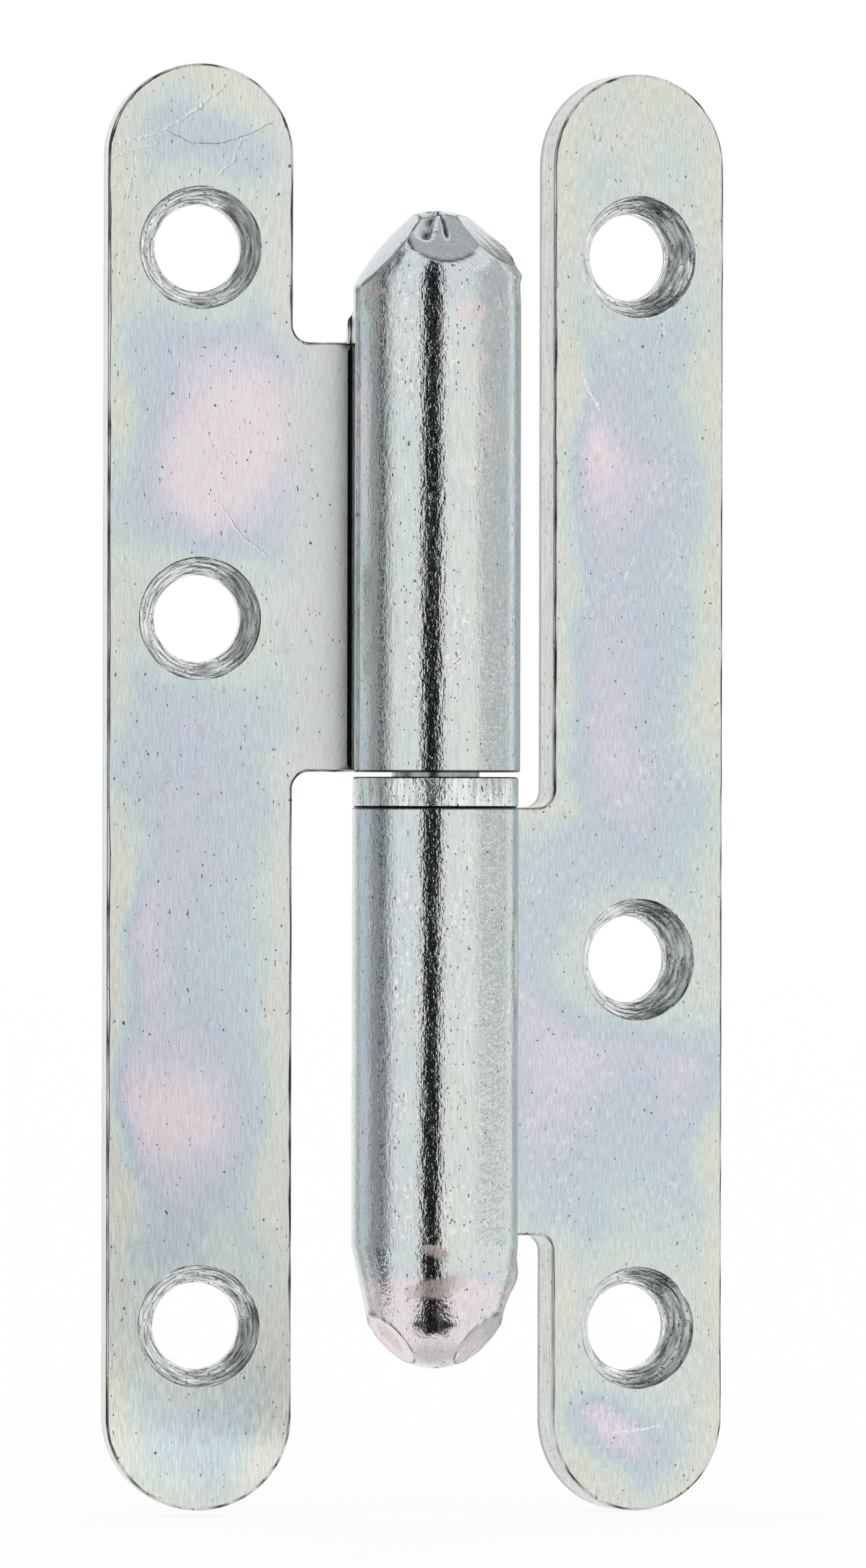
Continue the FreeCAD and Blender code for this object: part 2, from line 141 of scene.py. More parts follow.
@dataclass
class Graph:
    """Adds and joins the nodes of one tree, which may be a group with inputs and outputs."""

    tree: Tree
    source: bpy.types.bpy_prop_collection | None = None
    sink: bpy.types.bpy_prop_collection | None = None

    def feed(self, socket: Socket, value: Value) -> None:
        """Links a socket to an output, or sets it to a constant.

        Args:
            socket: The input socket.
            value: An output socket, or a plain value.
        """
        if isinstance(value, Socket):
            self.tree.links.new(value, socket)
        else:
            socket.default_value = value

    def node(self, kind: str, inputs: dict | None = None, **settings: object) -> Node:
        """Adds a node.

        Args:
            kind: Blender's name for the node type.
            inputs: Values or output sockets by input name or number.
            settings: The node's own properties, which are set first.

        Returns:
            The new node.
        """
        made = self.tree.nodes.new(kind)
        for name, setting in settings.items():
            setattr(made, name, setting)
        for key, value in (inputs or {}).items():
            self.feed(made.inputs[key], value)
        return made

    def group(self, tree: Tree, inputs: dict | None = None) -> Node:
        """Adds a shader group with its own values."""
        return self.node("ShaderNodeGroup", inputs, node_tree=tree)

    def math(self, operation: str, *values: Value, clamp: bool = False) -> Socket:
        """Adds a Math node and returns its result."""
        inputs = dict(enumerate(values))
        return self.node("ShaderNodeMath", inputs, operation=operation, use_clamp=clamp).outputs[0]

    def plus(self, first: Value, second: Value) -> Socket:
        """Adds a node for a sum and returns it."""
        return self.math("ADD", first, second)

    def minus(self, first: Value, second: Value) -> Socket:
        """Adds a node for a difference and returns it."""
        return self.math("SUBTRACT", first, second)

    def times(self, first: Value, second: Value) -> Socket:
        """Adds a node for a product and returns it."""
        return self.math("MULTIPLY", first, second)

    def vector(self, operation: str, first: Value, second: Value) -> Node:
        """Adds a Vector Math node."""
        return self.node("ShaderNodeVectorMath", {0: first, 1: second}, operation=operation)

    def split(self, place: Value) -> bpy.types.bpy_prop_collection:
        """Adds a node that parts a vector and returns its three outputs."""
        return self.node("ShaderNodeSeparateXYZ", {0: place}).outputs

    def join(self, x: Value, y: Value, z: Value) -> Socket:
        """Adds a node that joins three values and returns the vector."""
        return self.node("ShaderNodeCombineXYZ", {0: x, 1: y, 2: z}).outputs[0]

    def ramp(
        self, value: Value, low: Value, high: Value, start: Value = 0.0, end: Value = 1.0
    ) -> Socket:
        """Adds a clamped Map Range node and returns its result."""
        values = {0: value, 1: low, 2: high, 3: start, 4: end}
        return self.node("ShaderNodeMapRange", values, clamp=True).outputs[0]

    def mix(
        self, share: Value, first: Socket, second: Socket | Colour, blend: str = "MIX"
    ) -> Socket:
        """Adds a colour Mix node and returns its result.

        Args:
            share: Share of the second colour.
            first: The first colour.
            second: The second colour.
            blend: Blender's name for the way they mix.

        Returns:
            The mixed colour.
        """
        made = self.node("ShaderNodeMix", data_type="RGBA", blend_type=blend)
        sockets = {socket.identifier: socket for socket in made.inputs}
        self.feed(sockets["Factor_Float"], share)
        self.feed(sockets["A_Color"], first)
        self.feed(sockets["B_Color"], (*second, 1.0) if isinstance(second, tuple) else second)
        return next(socket for socket in made.outputs if socket.identifier == "Result_Color")

    def noise(self, place: Value, scale: Value, detail: float = 2.0, rough: float = 0.5) -> Socket:
        """Adds a Noise texture and returns its factor."""
        values = {"Vector": place, "Scale": scale, "Detail": detail, "Roughness": rough}
        return self.node("ShaderNodeTexNoise", values).outputs[0]

    def stretch(self, place: Value, x: float = 1.0, y: float = 1.0, z: float = 1.0) -> Socket:
        """Adds a Mapping node that scales coordinates and returns its result."""
        return self.node("ShaderNodeMapping", {"Vector": place, "Scale": (x, y, z)}).outputs[0]

    def attribute(self, name: str) -> Socket:
        """Returns a value that the mesh carries at its points."""
        return self.node("ShaderNodeAttribute", attribute_name=name).outputs["Fac"]

    def blank(self) -> Socket:
        """Returns the place on a leaf's flat blank, in millimetres."""
        place = self.node("ShaderNodeUVMap", uv_map=BLANK_MAP).outputs[0]
        return self.stretch(place, MAP_SPAN, MAP_SPAN, 0.0)


def new_group(name: str, kind: str, inputs: dict[str, tuple], outputs: dict[str, str]) -> Graph:
    """Starts a node group.

    Args:
        name: The group's name.
        kind: Blender's name for the tree type.
        inputs: Socket type and default value, or None, by input name.
        outputs: Socket type by output name.

    Returns:
        A graph on the new group, with one input and one output node.
    """
    tree = bpy.data.node_groups.new(name, kind)
    for label, (socket_type, value) in inputs.items():
        socket = tree.interface.new_socket(name=label, in_out="INPUT", socket_type=socket_type)
        if value is not None:
            socket.default_value = value
    for label, socket_type in outputs.items():
        tree.interface.new_socket(name=label, in_out="OUTPUT", socket_type=socket_type)
    graph = Graph(tree)
    graph.source = graph.node("NodeGroupInput").outputs
    graph.sink = graph.node("NodeGroupOutput").inputs
    return graph


def new_material(name: str) -> tuple[Material, Graph]:
    """Starts a material.

    Args:
        name: The material's name.

    Returns:
        The material and its graph.
    """
    made = bpy.data.materials.new(name)
    made.use_nodes = True
    return made, Graph(made.node_tree)


class SharedEffects:
    """The shader groups that several finishes place with their own values."""

    KIND = "ShaderNodeTree"
    FILM_COLOURS = (
        (0.0, (0.765, 0.775, 0.690)),
        (0.18, (0.690, 0.760, 0.715)),
        (0.38, (0.595, 0.690, 0.725)),
        (0.56, (0.600, 0.650, 0.735)),
        (0.75, (0.690, 0.685, 0.775)),
        (1.0, (0.890, 0.775, 0.810)),
    )

    def __init__(self) -> None:
        """Builds each group once."""
        self.millimetres = self.build_millimetres()
        self.grain = self.build_grain()
        self.film = self.build_film()
        self.scratch = self.build_scratch()

    def build_millimetres(self) -> Tree:
        """Builds the group that gives a point's place in millimetres.

        Returns:
            The group.
        """
        graph = new_group("Place in millimetres", self.KIND, {}, {"Place": VECTOR})
        place = graph.node("ShaderNodeTexCoord").outputs["Object"]
        graph.feed(graph.sink["Place"], graph.stretch(place, 1 / MM, 1 / MM, 1 / MM))
        return graph.tree

    def build_grain(self) -> Tree:
        """Builds the group for rolling grain, pits, pale flecks and the plating's peel.

        Returns:
            The group.
        """
        inputs = {
            "Place": (VECTOR, None),
            "Grain Size": (FLOAT, 0.12),
            "Pit Share": (FLOAT, 0.33),
            "Peel": (FLOAT, 0.5),
        }
        outputs = dict.fromkeys(("Grain", "Pits", "Flecks", "Height"), FLOAT)
        graph = new_group("Plating grain", self.KIND, inputs, outputs)
        place, pit_share = graph.source["Place"], graph.source["Pit Share"]
        per_mm = graph.math("DIVIDE", 1.0, graph.source["Grain Size"])
        grain = graph.noise(graph.stretch(place, z=0.12), per_mm)
        peel = graph.noise(graph.stretch(place, z=0.7), 3.2, rough=0.6)
        pit_noise = graph.noise(graph.stretch(place, z=0.5), 4.6, detail=1.0)
        pits = graph.ramp(pit_noise, pit_share, graph.minus(pit_share, 0.06))
        fleck_noise = graph.noise(graph.stretch(place, 1.2, 1.2, 0.7), 2.7, rough=0.6)
        field_noise = graph.noise(graph.stretch(place, z=0.6), 0.23, detail=1.0)
        fleck_field = graph.ramp(field_noise, 0.42, 0.58)
        flecks = graph.times(graph.ramp(fleck_noise, 0.57, 0.65), fleck_field)
        fine = graph.times(grain, 0.35)
        height = graph.math("MULTIPLY_ADD", peel, graph.source["Peel"], fine)
        height = graph.minus(height, graph.times(pits, 0.4))
        for label, result in zip(outputs, (grain, pits, flecks, height)):
            graph.feed(graph.sink[label], result)
        return graph.tree

    def build_film(self) -> Tree:
        """Builds the group that turns film thickness into its interference colour.

        Returns:
            The group.
        """
        inputs = {"Thickness": (FLOAT, 0.4), "Place": (VECTOR, None), "Cloud": (FLOAT, 0.2)}
        graph = new_group("Passivation film", self.KIND, inputs, {"Colour": COLOUR})
        place = graph.source["Place"]
        broad = graph.noise(graph.stretch(place, z=0.7), 0.22, detail=3.0, rough=0.55)
        small = graph.noise(place, 0.9, detail=3.0, rough=0.6)
        cloud = graph.minus(graph.math("MULTIPLY_ADD", small, 0.35, broad), 0.68)
        cloud = graph.times(cloud, graph.source["Cloud"])
        thickness = graph.math("ADD", graph.source["Thickness"], cloud, clamp=True)
        colours = graph.node("ShaderNodeValToRGB", {0: thickness})
        elements = colours.color_ramp.elements
        for number, (stop, colour) in enumerate(self.FILM_COLOURS):
            element = elements[number] if number < len(elements) else elements.new(stop)
            element.position = stop
            element.color = (*colour, 1.0)
        graph.feed(graph.sink["Colour"], colours.outputs[0])
        return graph.tree

    def build_scratch(self) -> Tree:
        """Builds the group for one straight run of a scratch between two points of the blank.

        Returns:
            The group.
        """
        inputs = {label: (VECTOR, None) for label in ("Place", "From", "To")}
        inputs["Width"] = (FLOAT, 0.1)
        graph = new_group("Scratch", self.KIND, inputs, {"Mask": FLOAT})
        start, width = graph.source["From"], graph.source["Width"]
        arm = graph.vector("SUBTRACT", graph.source["Place"], start).outputs[0]
        run = graph.vector("SUBTRACT", graph.source["To"], start).outputs[0]
        reached = graph.vector("DOT_PRODUCT", arm, run).outputs["Value"]
        whole = graph.vector("DOT_PRODUCT", run, run).outputs["Value"]
        along = graph.math("DIVIDE", reached, whole, clamp=True)
        scaled = {0: run, "Scale": along}
        foot = graph.node("ShaderNodeVectorMath", scaled, operation="SCALE").outputs[0]
        gap = graph.vector("DISTANCE", arm, foot).outputs["Value"]
        graph.feed(graph.sink["Mask"], graph.ramp(gap, width, graph.times(width, 0.4)))
        return graph.tree


@dataclass(frozen=True)
class Scratch:
    """A scratch on a leaf's blank that follows (out, up) places."""

    path: tuple[tuple[float, float], ...]
    width: float = 0.10
    bright: bool = True

    @property
    def colour(self) -> Colour:
        """Returns the scratch's colour."""
        return (0.98, 0.95, 0.90) if self.bright else (0.18, 0.17, 0.16)

    @property
    def strength(self) -> float:
        """Returns how far the scratch covers the plating."""
        return 0.9 if self.bright else 0.6


@dataclass(frozen=True)
class PlatedFinish:
    """One zinc-plated surface: how rough, grained and coloured it is."""

    name: str
    roughness: float
    spread: float
    grain_size: float
    bump_depth: float
    pit_share: float
    cloud: float
    peel: float = 0.5
    fleck_share: float = 0.35
    bare_share: float = 0.0
    tint: Colour = (1.0, 1.0, 1.0)
    scratches: tuple[Scratch, ...] = ()
    grain_contrast: float = 0.14
    turned: bool = False
    pit_colour: Colour = (0.16, 0.16, 0.15)
    bare_colour: Colour = (0.73, 0.74, 0.73)
    # Near-black colour that paints shade and dark reflections in creases, grooves, joints and along
    # edges.
    painted_shade_colour: Colour = (0.012, 0.012, 0.012)
    fleck_colour: Colour = (0.95, 0.83, 0.80)
    stain_colour: Colour = (0.84, 0.71, 0.69)
    stain_cover: float = 0.85
    stain_roughness: float = 0.3

    def material(self, effects: SharedEffects) -> Material:
        """Builds the finish as a material.

        Args:
            effects: The shared shader groups.

        Returns:
            The material.
        """
        made, graph = new_material(self.name)
        shader = made.node_tree.nodes["Principled BSDF"].inputs
        place = graph.group(effects.millimetres).outputs["Place"]
        if self.turned:
            around = graph.split(graph.blank())
            place = graph.join(around[1], 0.0, around[0])
        values = {
            "Place": place,
            "Grain Size": self.grain_size,
            "Pit Share": self.pit_share,
            "Peel": self.peel,
        }
        grain = graph.group(effects.grain, values).outputs
        stain = self.stain(graph, place)
        colour = self.plating_colour(graph, effects, place, grain, stain)
        height = grain["Height"]
        if self.scratches:
            colour, height = self.scratched(graph, effects, colour, height)
        # Paints shade: mixes towards near black by the mesh's value for creases, grooves, joints
        # and edges.
        colour = graph.mix(graph.attribute("painted_shade"), colour, self.painted_shade_colour)
        smooth, matt = self.roughness - self.spread, self.roughness + self.spread
        rough = graph.ramp(grain["Grain"], 0.25, 0.75, smooth, matt)
        rough = graph.math("MULTIPLY_ADD", stain, self.stain_roughness, rough)
        relief = {"Height": height, "Distance": self.bump_depth * MM}
        bump = graph.node("ShaderNodeBump", relief).outputs[0]
        finished = {"Metallic": 1.0, "Base Color": colour, "Roughness": rough, "Normal": bump}
        for label, value in finished.items():
            graph.feed(shader[label], value)
        return made

    @staticmethod
    def stain(graph: Graph, place: Socket) -> Socket:
        """Breaks the mesh's soft stains into patches.

        Args:
            graph: The material's graph.
            place: The point's place in millimetres.

        Returns:
            Share of stain.
        """
        mottle = graph.noise(place, 1.9, detail=5.0, rough=0.75)
        broken = graph.math("MULTIPLY_ADD", mottle, -3.2, 0.95)
        covered = graph.math("MULTIPLY_ADD", graph.attribute("stain"), 1.6, broken)
        return graph.ramp(covered, 0.0, 0.9)

    def plating_colour(
        self,
        graph: Graph,
        effects: SharedEffects,
        place: Socket,
        grain: bpy.types.bpy_prop_collection,
        stain: Socket,
    ) -> Socket:
        """Lays film, stain, grain, flecks and pits over each other.

        Args:
            graph: The material's graph.
            effects: The shared shader groups.
            place: The point's place in millimetres.
            grain: The grain group's outputs.
            stain: Share of matt stain.

        Returns:
            The colour.
        """
        values = {"Place": place, "Cloud": self.cloud, "Thickness": graph.attribute("film")}
        film = graph.group(effects.film, values).outputs["Colour"]
        bare = graph.math("MAXIMUM", graph.attribute("dull"), self.bare_share)
        colour = graph.mix(bare, film, self.bare_colour)
        colour = graph.mix(1.0, colour, self.tint, "MULTIPLY")
        colour = graph.mix(graph.times(stain, self.stain_cover), colour, self.stain_colour)
        dark, pale = 1.0 - self.grain_contrast, 1.0 + self.grain_contrast * 0.5
        shade = graph.ramp(grain["Grain"], 0.3, 0.7, dark, pale)
        grey = graph.node("ShaderNodeCombineColor", dict.fromkeys(range(3), shade)).outputs[0]
        colour = graph.mix(1.0, colour, grey, "MULTIPLY")
        flecks = graph.times(grain["Flecks"], self.fleck_share)
        colour = graph.mix(flecks, colour, self.fleck_colour)
        return graph.mix(grain["Pits"], colour, self.pit_colour)

    def scratched(
        self, graph: Graph, effects: SharedEffects, colour: Socket, height: Socket
    ) -> tuple[Socket, Socket]:
        """Cuts the finish's scratches into its colour and height.

        Args:
            graph: The material's graph.
            effects: The shared shader groups.
            colour: The plating's colour.
            height: The plating's height.

        Returns:
            The scratched colour and height.
        """
        flat = graph.blank()
        ripple = {"Vector": flat, "Scale": 1.4, "Detail": 3.0}
        waver = graph.node("ShaderNodeTexNoise", ripple).outputs[1]
        centred = {0: waver, 1: (0.5, 0.5, 0.0), 2: (-0.25, -0.25, 0.0)}
        shift = graph.node("ShaderNodeVectorMath", centred, operation="MULTIPLY_ADD")
        spot = graph.vector("ADD", flat, shift.outputs[0]).outputs[0]
        breaks = graph.ramp(graph.noise(flat, 3.2), 0.40, 0.52)
        for mark in self.scratches:
            mask = None
            for start, end in zip(mark.path, mark.path[1:]):
                ends = {"Place": spot, "From": (*start, 0.0), "To": (*end, 0.0)}
                run = graph.group(effects.scratch, {**ends, "Width": mark.width}).outputs[0]
                mask = run if mask is None else graph.math("MAXIMUM", mask, run)
            if mark.bright:
                mask = graph.times(mask, breaks)
            colour = graph.mix(graph.times(mask, mark.strength), colour, mark.colour)
            height = graph.minus(height, mask)
        return colour, height


@dataclass(frozen=True)
class SheetEdge:
    """The stamped edge of the sheet: a rolled-over front and a slightly broken back."""

    roll_reach: float = 0.24
    roll_depth: float = 0.26
    back_bevel: float = 0.12
    wall_steps: int = 3
    roll_steps: int = 6
    raggedness: float = 0.12

    def rows(self, thickness: float) -> list[tuple[float, float]]:
        """Steps through the edge from the back face to the front face.

        Args:
            thickness: The sheet's thickness.

        Returns:
            Inset from the outline and depth from the back face, step by step.
        """
        steps = [(self.back_bevel, 0.0)]
        wall = thickness - self.roll_depth - self.back_bevel
        for step in range(self.wall_steps):
            steps.append((0.0, self.back_bevel + wall * step / self.wall_steps))
        for step in range(self.roll_steps + 1):
            turn = math.pi / 2 * step / self.roll_steps
            inset = self.roll_reach * (1 - math.cos(turn))
            steps.append((inset, thickness - self.roll_depth * (1 - math.sin(turn))))
        return steps


@dataclass(frozen=True)
class Bulge:
    """A low swelling that the swaging leaves on a knuckle, by angle in degrees and height."""

    angle: float
    height: float
    spread: float
    rise: float
    swell: float

    def lift(self, angle: Array, height: float) -> Array:
        """Returns how far the knuckle swells at some angles of one height."""
        off = turned_off(angle, self.angle) / self.spread
        return self.swell * np.exp(-(off**2) - ((height - self.height) / self.rise) ** 2)


@dataclass(frozen=True)
class Groove:
    """A crease that runs down the front of a dome, by its side step and reach at each end."""

    start: tuple[float, float]
    end: tuple[float, float]
    width: float
    depth: float
    fade_in: float = 0.6
    fade_out: float = 0.8

    def nearness(self, x: Array, away: Array) -> Array:
        """Measures how near points are to the groove's bed.

        Args:
            x: Places across the leaf.
            away: Distances from the hinge axis.

        Returns:
            1 on the bed, falling to 0 beside it.
        """
        (first_x, first), (last_x, last) = self.start, self.end
        share = np.clip((away - first) / (last - first), 0.0, 1.0)
        beside = (x - first_x - (last_x - first_x) * share) / (self.width / 2)
        begun = smooth_step(first - self.fade_in, first, away)
        return np.exp(-(beside**2)) * begun * (1 - smooth_step(last - self.fade_out, last, away))


@dataclass(frozen=True)
class Flat:
    """A flat that a swaging jaw presses into a dome, by its angle in degrees."""

    turn: float
    tip_radius: float
    slope: float
    curve: float = 0.0
    spread: float = 1.0
    reach: float = 85.0

    def limit(self, angle: Array, drop: Array | float) -> Array:
        """Gives the radius that the flat leaves.

        Args:
            angle: Angles in degrees.
            drop: Drops below the tip.

        Returns:
            The greatest radius at each place.
        """
        off = np.abs(turned_off(angle, self.turn))
        middle = self.tip_radius + self.slope * drop - self.curve * np.square(drop)
        widening = np.cos(np.radians(np.minimum(off, self.reach))) ** self.spread
        return np.where(off < self.reach, middle / widening, np.inf)


@dataclass(frozen=True)
class Stain:
    """A matt, rosy stain on a knuckle, by its angle in degrees and its drop below the tip."""

    angle: float
    drop: float
    spread: float
    rise: float
    strength: float = 1.0

    def cover(self, angle: Array, drop: Array) -> Array:
        """Finds the stain's share at each place.

        Args:
            angle: Angles in degrees.
            drop: Drops below the tip.

        Returns:
            Shares from 0 to 1.
        """
        off = turned_off(angle, self.angle) / self.spread
        away = off**2 + ((self.drop - drop) / self.rise) ** 2
        return np.clip(1.5 - away, 0.0, 1.0) * self.strength


@dataclass(frozen=True)
class Dome:
    """The swaged end of a knuckle."""

    shoulder_inset: float
    shoulder_drop: float
    taper_drop: float
    flats: tuple[Flat, ...]
    grooves: tuple[Groove, ...]
    bulges: tuple[Bulge, ...]
    stains: tuple[Stain, ...]
    tip_radius: float = 0.22
    hollow_radius: float = 0.06
    hollow_drop: float = 2.4
    ring_count: int = 44
    taper_rings: int = 17
    rim_width: float = 0.08
    crest_width: float = 0.10

    def cap(self, radius: float) -> tuple[float, float]:
        """Returns the radius at the dome's shoulder and the radius of its ball."""
        edge = radius - self.shoulder_inset
        return edge, (edge**2 + self.shoulder_drop**2) / (2 * self.shoulder_drop)

    def meridian(self, radius: float, top: float) -> list[tuple[float, float]]:
        """Follows the end's outline from its shoulder to its tip.

        Args:
            radius: The knuckle's radius.
            top: Height of the tip.

        Returns:
            Radius and height, ring by ring.
        """
        edge, ball = self.cap(radius)
        first, last = math.asin(edge / ball), math.asin(self.tip_radius / ball)
        rings = []
        for step in range(self.ring_count + 1):
            turn = first + (last - first) * step / self.ring_count
            rings.append((ball * math.sin(turn), top - ball * (1 - math.cos(turn))))
        return rings

    def press(self, reach: Array, angle: Array, drop: float) -> Array:
        """Presses the flats of the swaging jaws into one ring.

        Args:
            reach: Radius of each point.
            angle: Angle of each point in degrees.
            drop: The ring's drop below the tip.

        Returns:
            The pressed radii.
        """
        for flat in self.flats:
            reach = np.minimum(reach, flat.limit(angle, drop))
        return reach

    def crease(self, dome: Array) -> None:
        """Sinks the dome's seam and creases.

        Args:
            dome: The dome's points, changed in place.
        """
        away = np.hypot(dome[..., 0], dome[..., 1])
        front = dome[..., 1] <= 0.0
        for groove in self.grooves:
            sink = np.where(front, groove.nearness(dome[..., 0], away) * groove.depth, 0.0)
            dome[..., 2] -= sink * 0.8
            inward = 1 - np.minimum(sink * 0.6 / np.maximum(away, 0.3), 0.8)
            dome[..., :2] *= inward[..., None]

    def marks(self, points: Array, radius: float, top: float) -> Array:
        """Finds the rims of the pressed flats and the beds of the grooves.

        Args:
            points: Points in the leaf's own frame.
            radius: The knuckle's radius.
            top: Height of the tip.

        Returns:
            How near each point is to a rim or a groove's bed, from 0 to 1.
        """
        x, y, z = points.T
        away = np.hypot(x, y)
        drop = np.clip(top - z, 0.0, None)
        edge, ball = self.cap(radius)
        round_reach = np.sqrt(np.clip(ball**2 - (ball - drop) ** 2, 0.0, None))
        taper = self.shoulder_inset / (self.taper_drop - self.shoulder_drop)
        taper_reach = edge + (drop - self.shoulder_drop) * taper
        on_dome = drop < self.shoulder_drop
        reach = np.where(on_dome, round_reach, taper_reach)
        angle = np.degrees(np.arctan2(y, x))
        limits = np.sort([flat.limit(angle, drop) for flat in self.flats], axis=0)
        outside = (away > reach * 0.6) & (away > 0.5) & (away < radius)
        rim = np.exp(-(((reach - limits[0]) / self.rim_width) ** 2))
        beside = np.where(np.isfinite(limits[1]), limits[1] - limits[0], 9.0)
        crest = np.exp(-((beside / self.crest_width) ** 2)) * (limits[0] < reach)
        swaged = (drop < self.taper_drop) & outside
        value = np.where(swaged, 0.9 * np.maximum(rim, crest), 0.0)
        for groove in self.grooves:
            bed = 0.95 * groove.nearness(x, away) ** 2
            value = np.maximum(value, np.where((y <= 0.0) & on_dome, bed, 0.0))
        return value


@dataclass(frozen=True)
class FilmPatch:
    """A cloud of thicker film on a leaf's face, by its place outwards and upwards."""

    out: float
    up: float
    width: float
    height: float
    amount: float

    def cloud(self, x: Array, rise: Array) -> Array:
        """Returns the added film at places across the leaf and above the cloud's middle."""
        across = (x + self.out) / (1.12 * self.width)
        return self.amount * np.exp(-(across**2) - (rise / (1.05 * self.height)) ** 2)


@dataclass(frozen=True)
class Placement:
    """How a leaf's own frame sits in the shared one."""

    turn: float = 0.0
    lift: float = 0.0
    end_for_end: bool = False

    def points(self, own: Array) -> Array:
        """Moves points from the leaf's frame to the shared frame.

        Args:
            own: Points in the leaf's frame, in millimetres.

        Returns:
            Points in the shared frame, in metres.
        """
        flipped = own * np.array((-1.0, 1.0, -1.0)) if self.end_for_end else own
        turn = np.array(Matrix.Rotation(math.radians(self.turn), 3, "Z"))
        return (flipped @ turn.T + HINGE_AXIS + np.array((0.0, 0.0, self.lift))) * MM

    def upward(self, height: float) -> float:
        """Returns a height of the shared frame as one of the leaf's own."""
        return -height if self.end_for_end else height - self.lift


def piece_from_tree(name: str, tree: Tree, sizes: dict[str, object], points: list) -> Mesh:
    """Runs a Geometry Nodes tree once and keeps its result as a plain mesh.

    Args:
        name: Name of the mesh.
        tree: The tree.
        sizes: Values by the names of the tree's inputs.
        points: Points of the mesh that the tree starts from.

    Returns:
        The mesh that the tree makes.
    """
    seed_mesh = bpy.data.meshes.new(f"{name}_points")
    seed_mesh.from_pydata(points, [], [])
    carrier = add_object(f"{name}_carrier", seed_mesh)
    modifier = carrier.modifiers.new("shape", "NODES")
    modifier.node_group = tree
    items = [item for item in tree.interface.items_tree if item.in_out == "INPUT"]
    identifiers = {item.name: item.identifier for item in items}
    for label, value in sizes.items():
        modifier[identifiers[label]] = value
    graph = bpy.context.evaluated_depsgraph_get()
    made = bpy.data.meshes.new_from_object(carrier.evaluated_get(graph))
    made.name = name
    carrier.modifiers.remove(modifier)
    bpy.data.objects.remove(carrier)
    bpy.data.meshes.remove(seed_mesh)
    return made


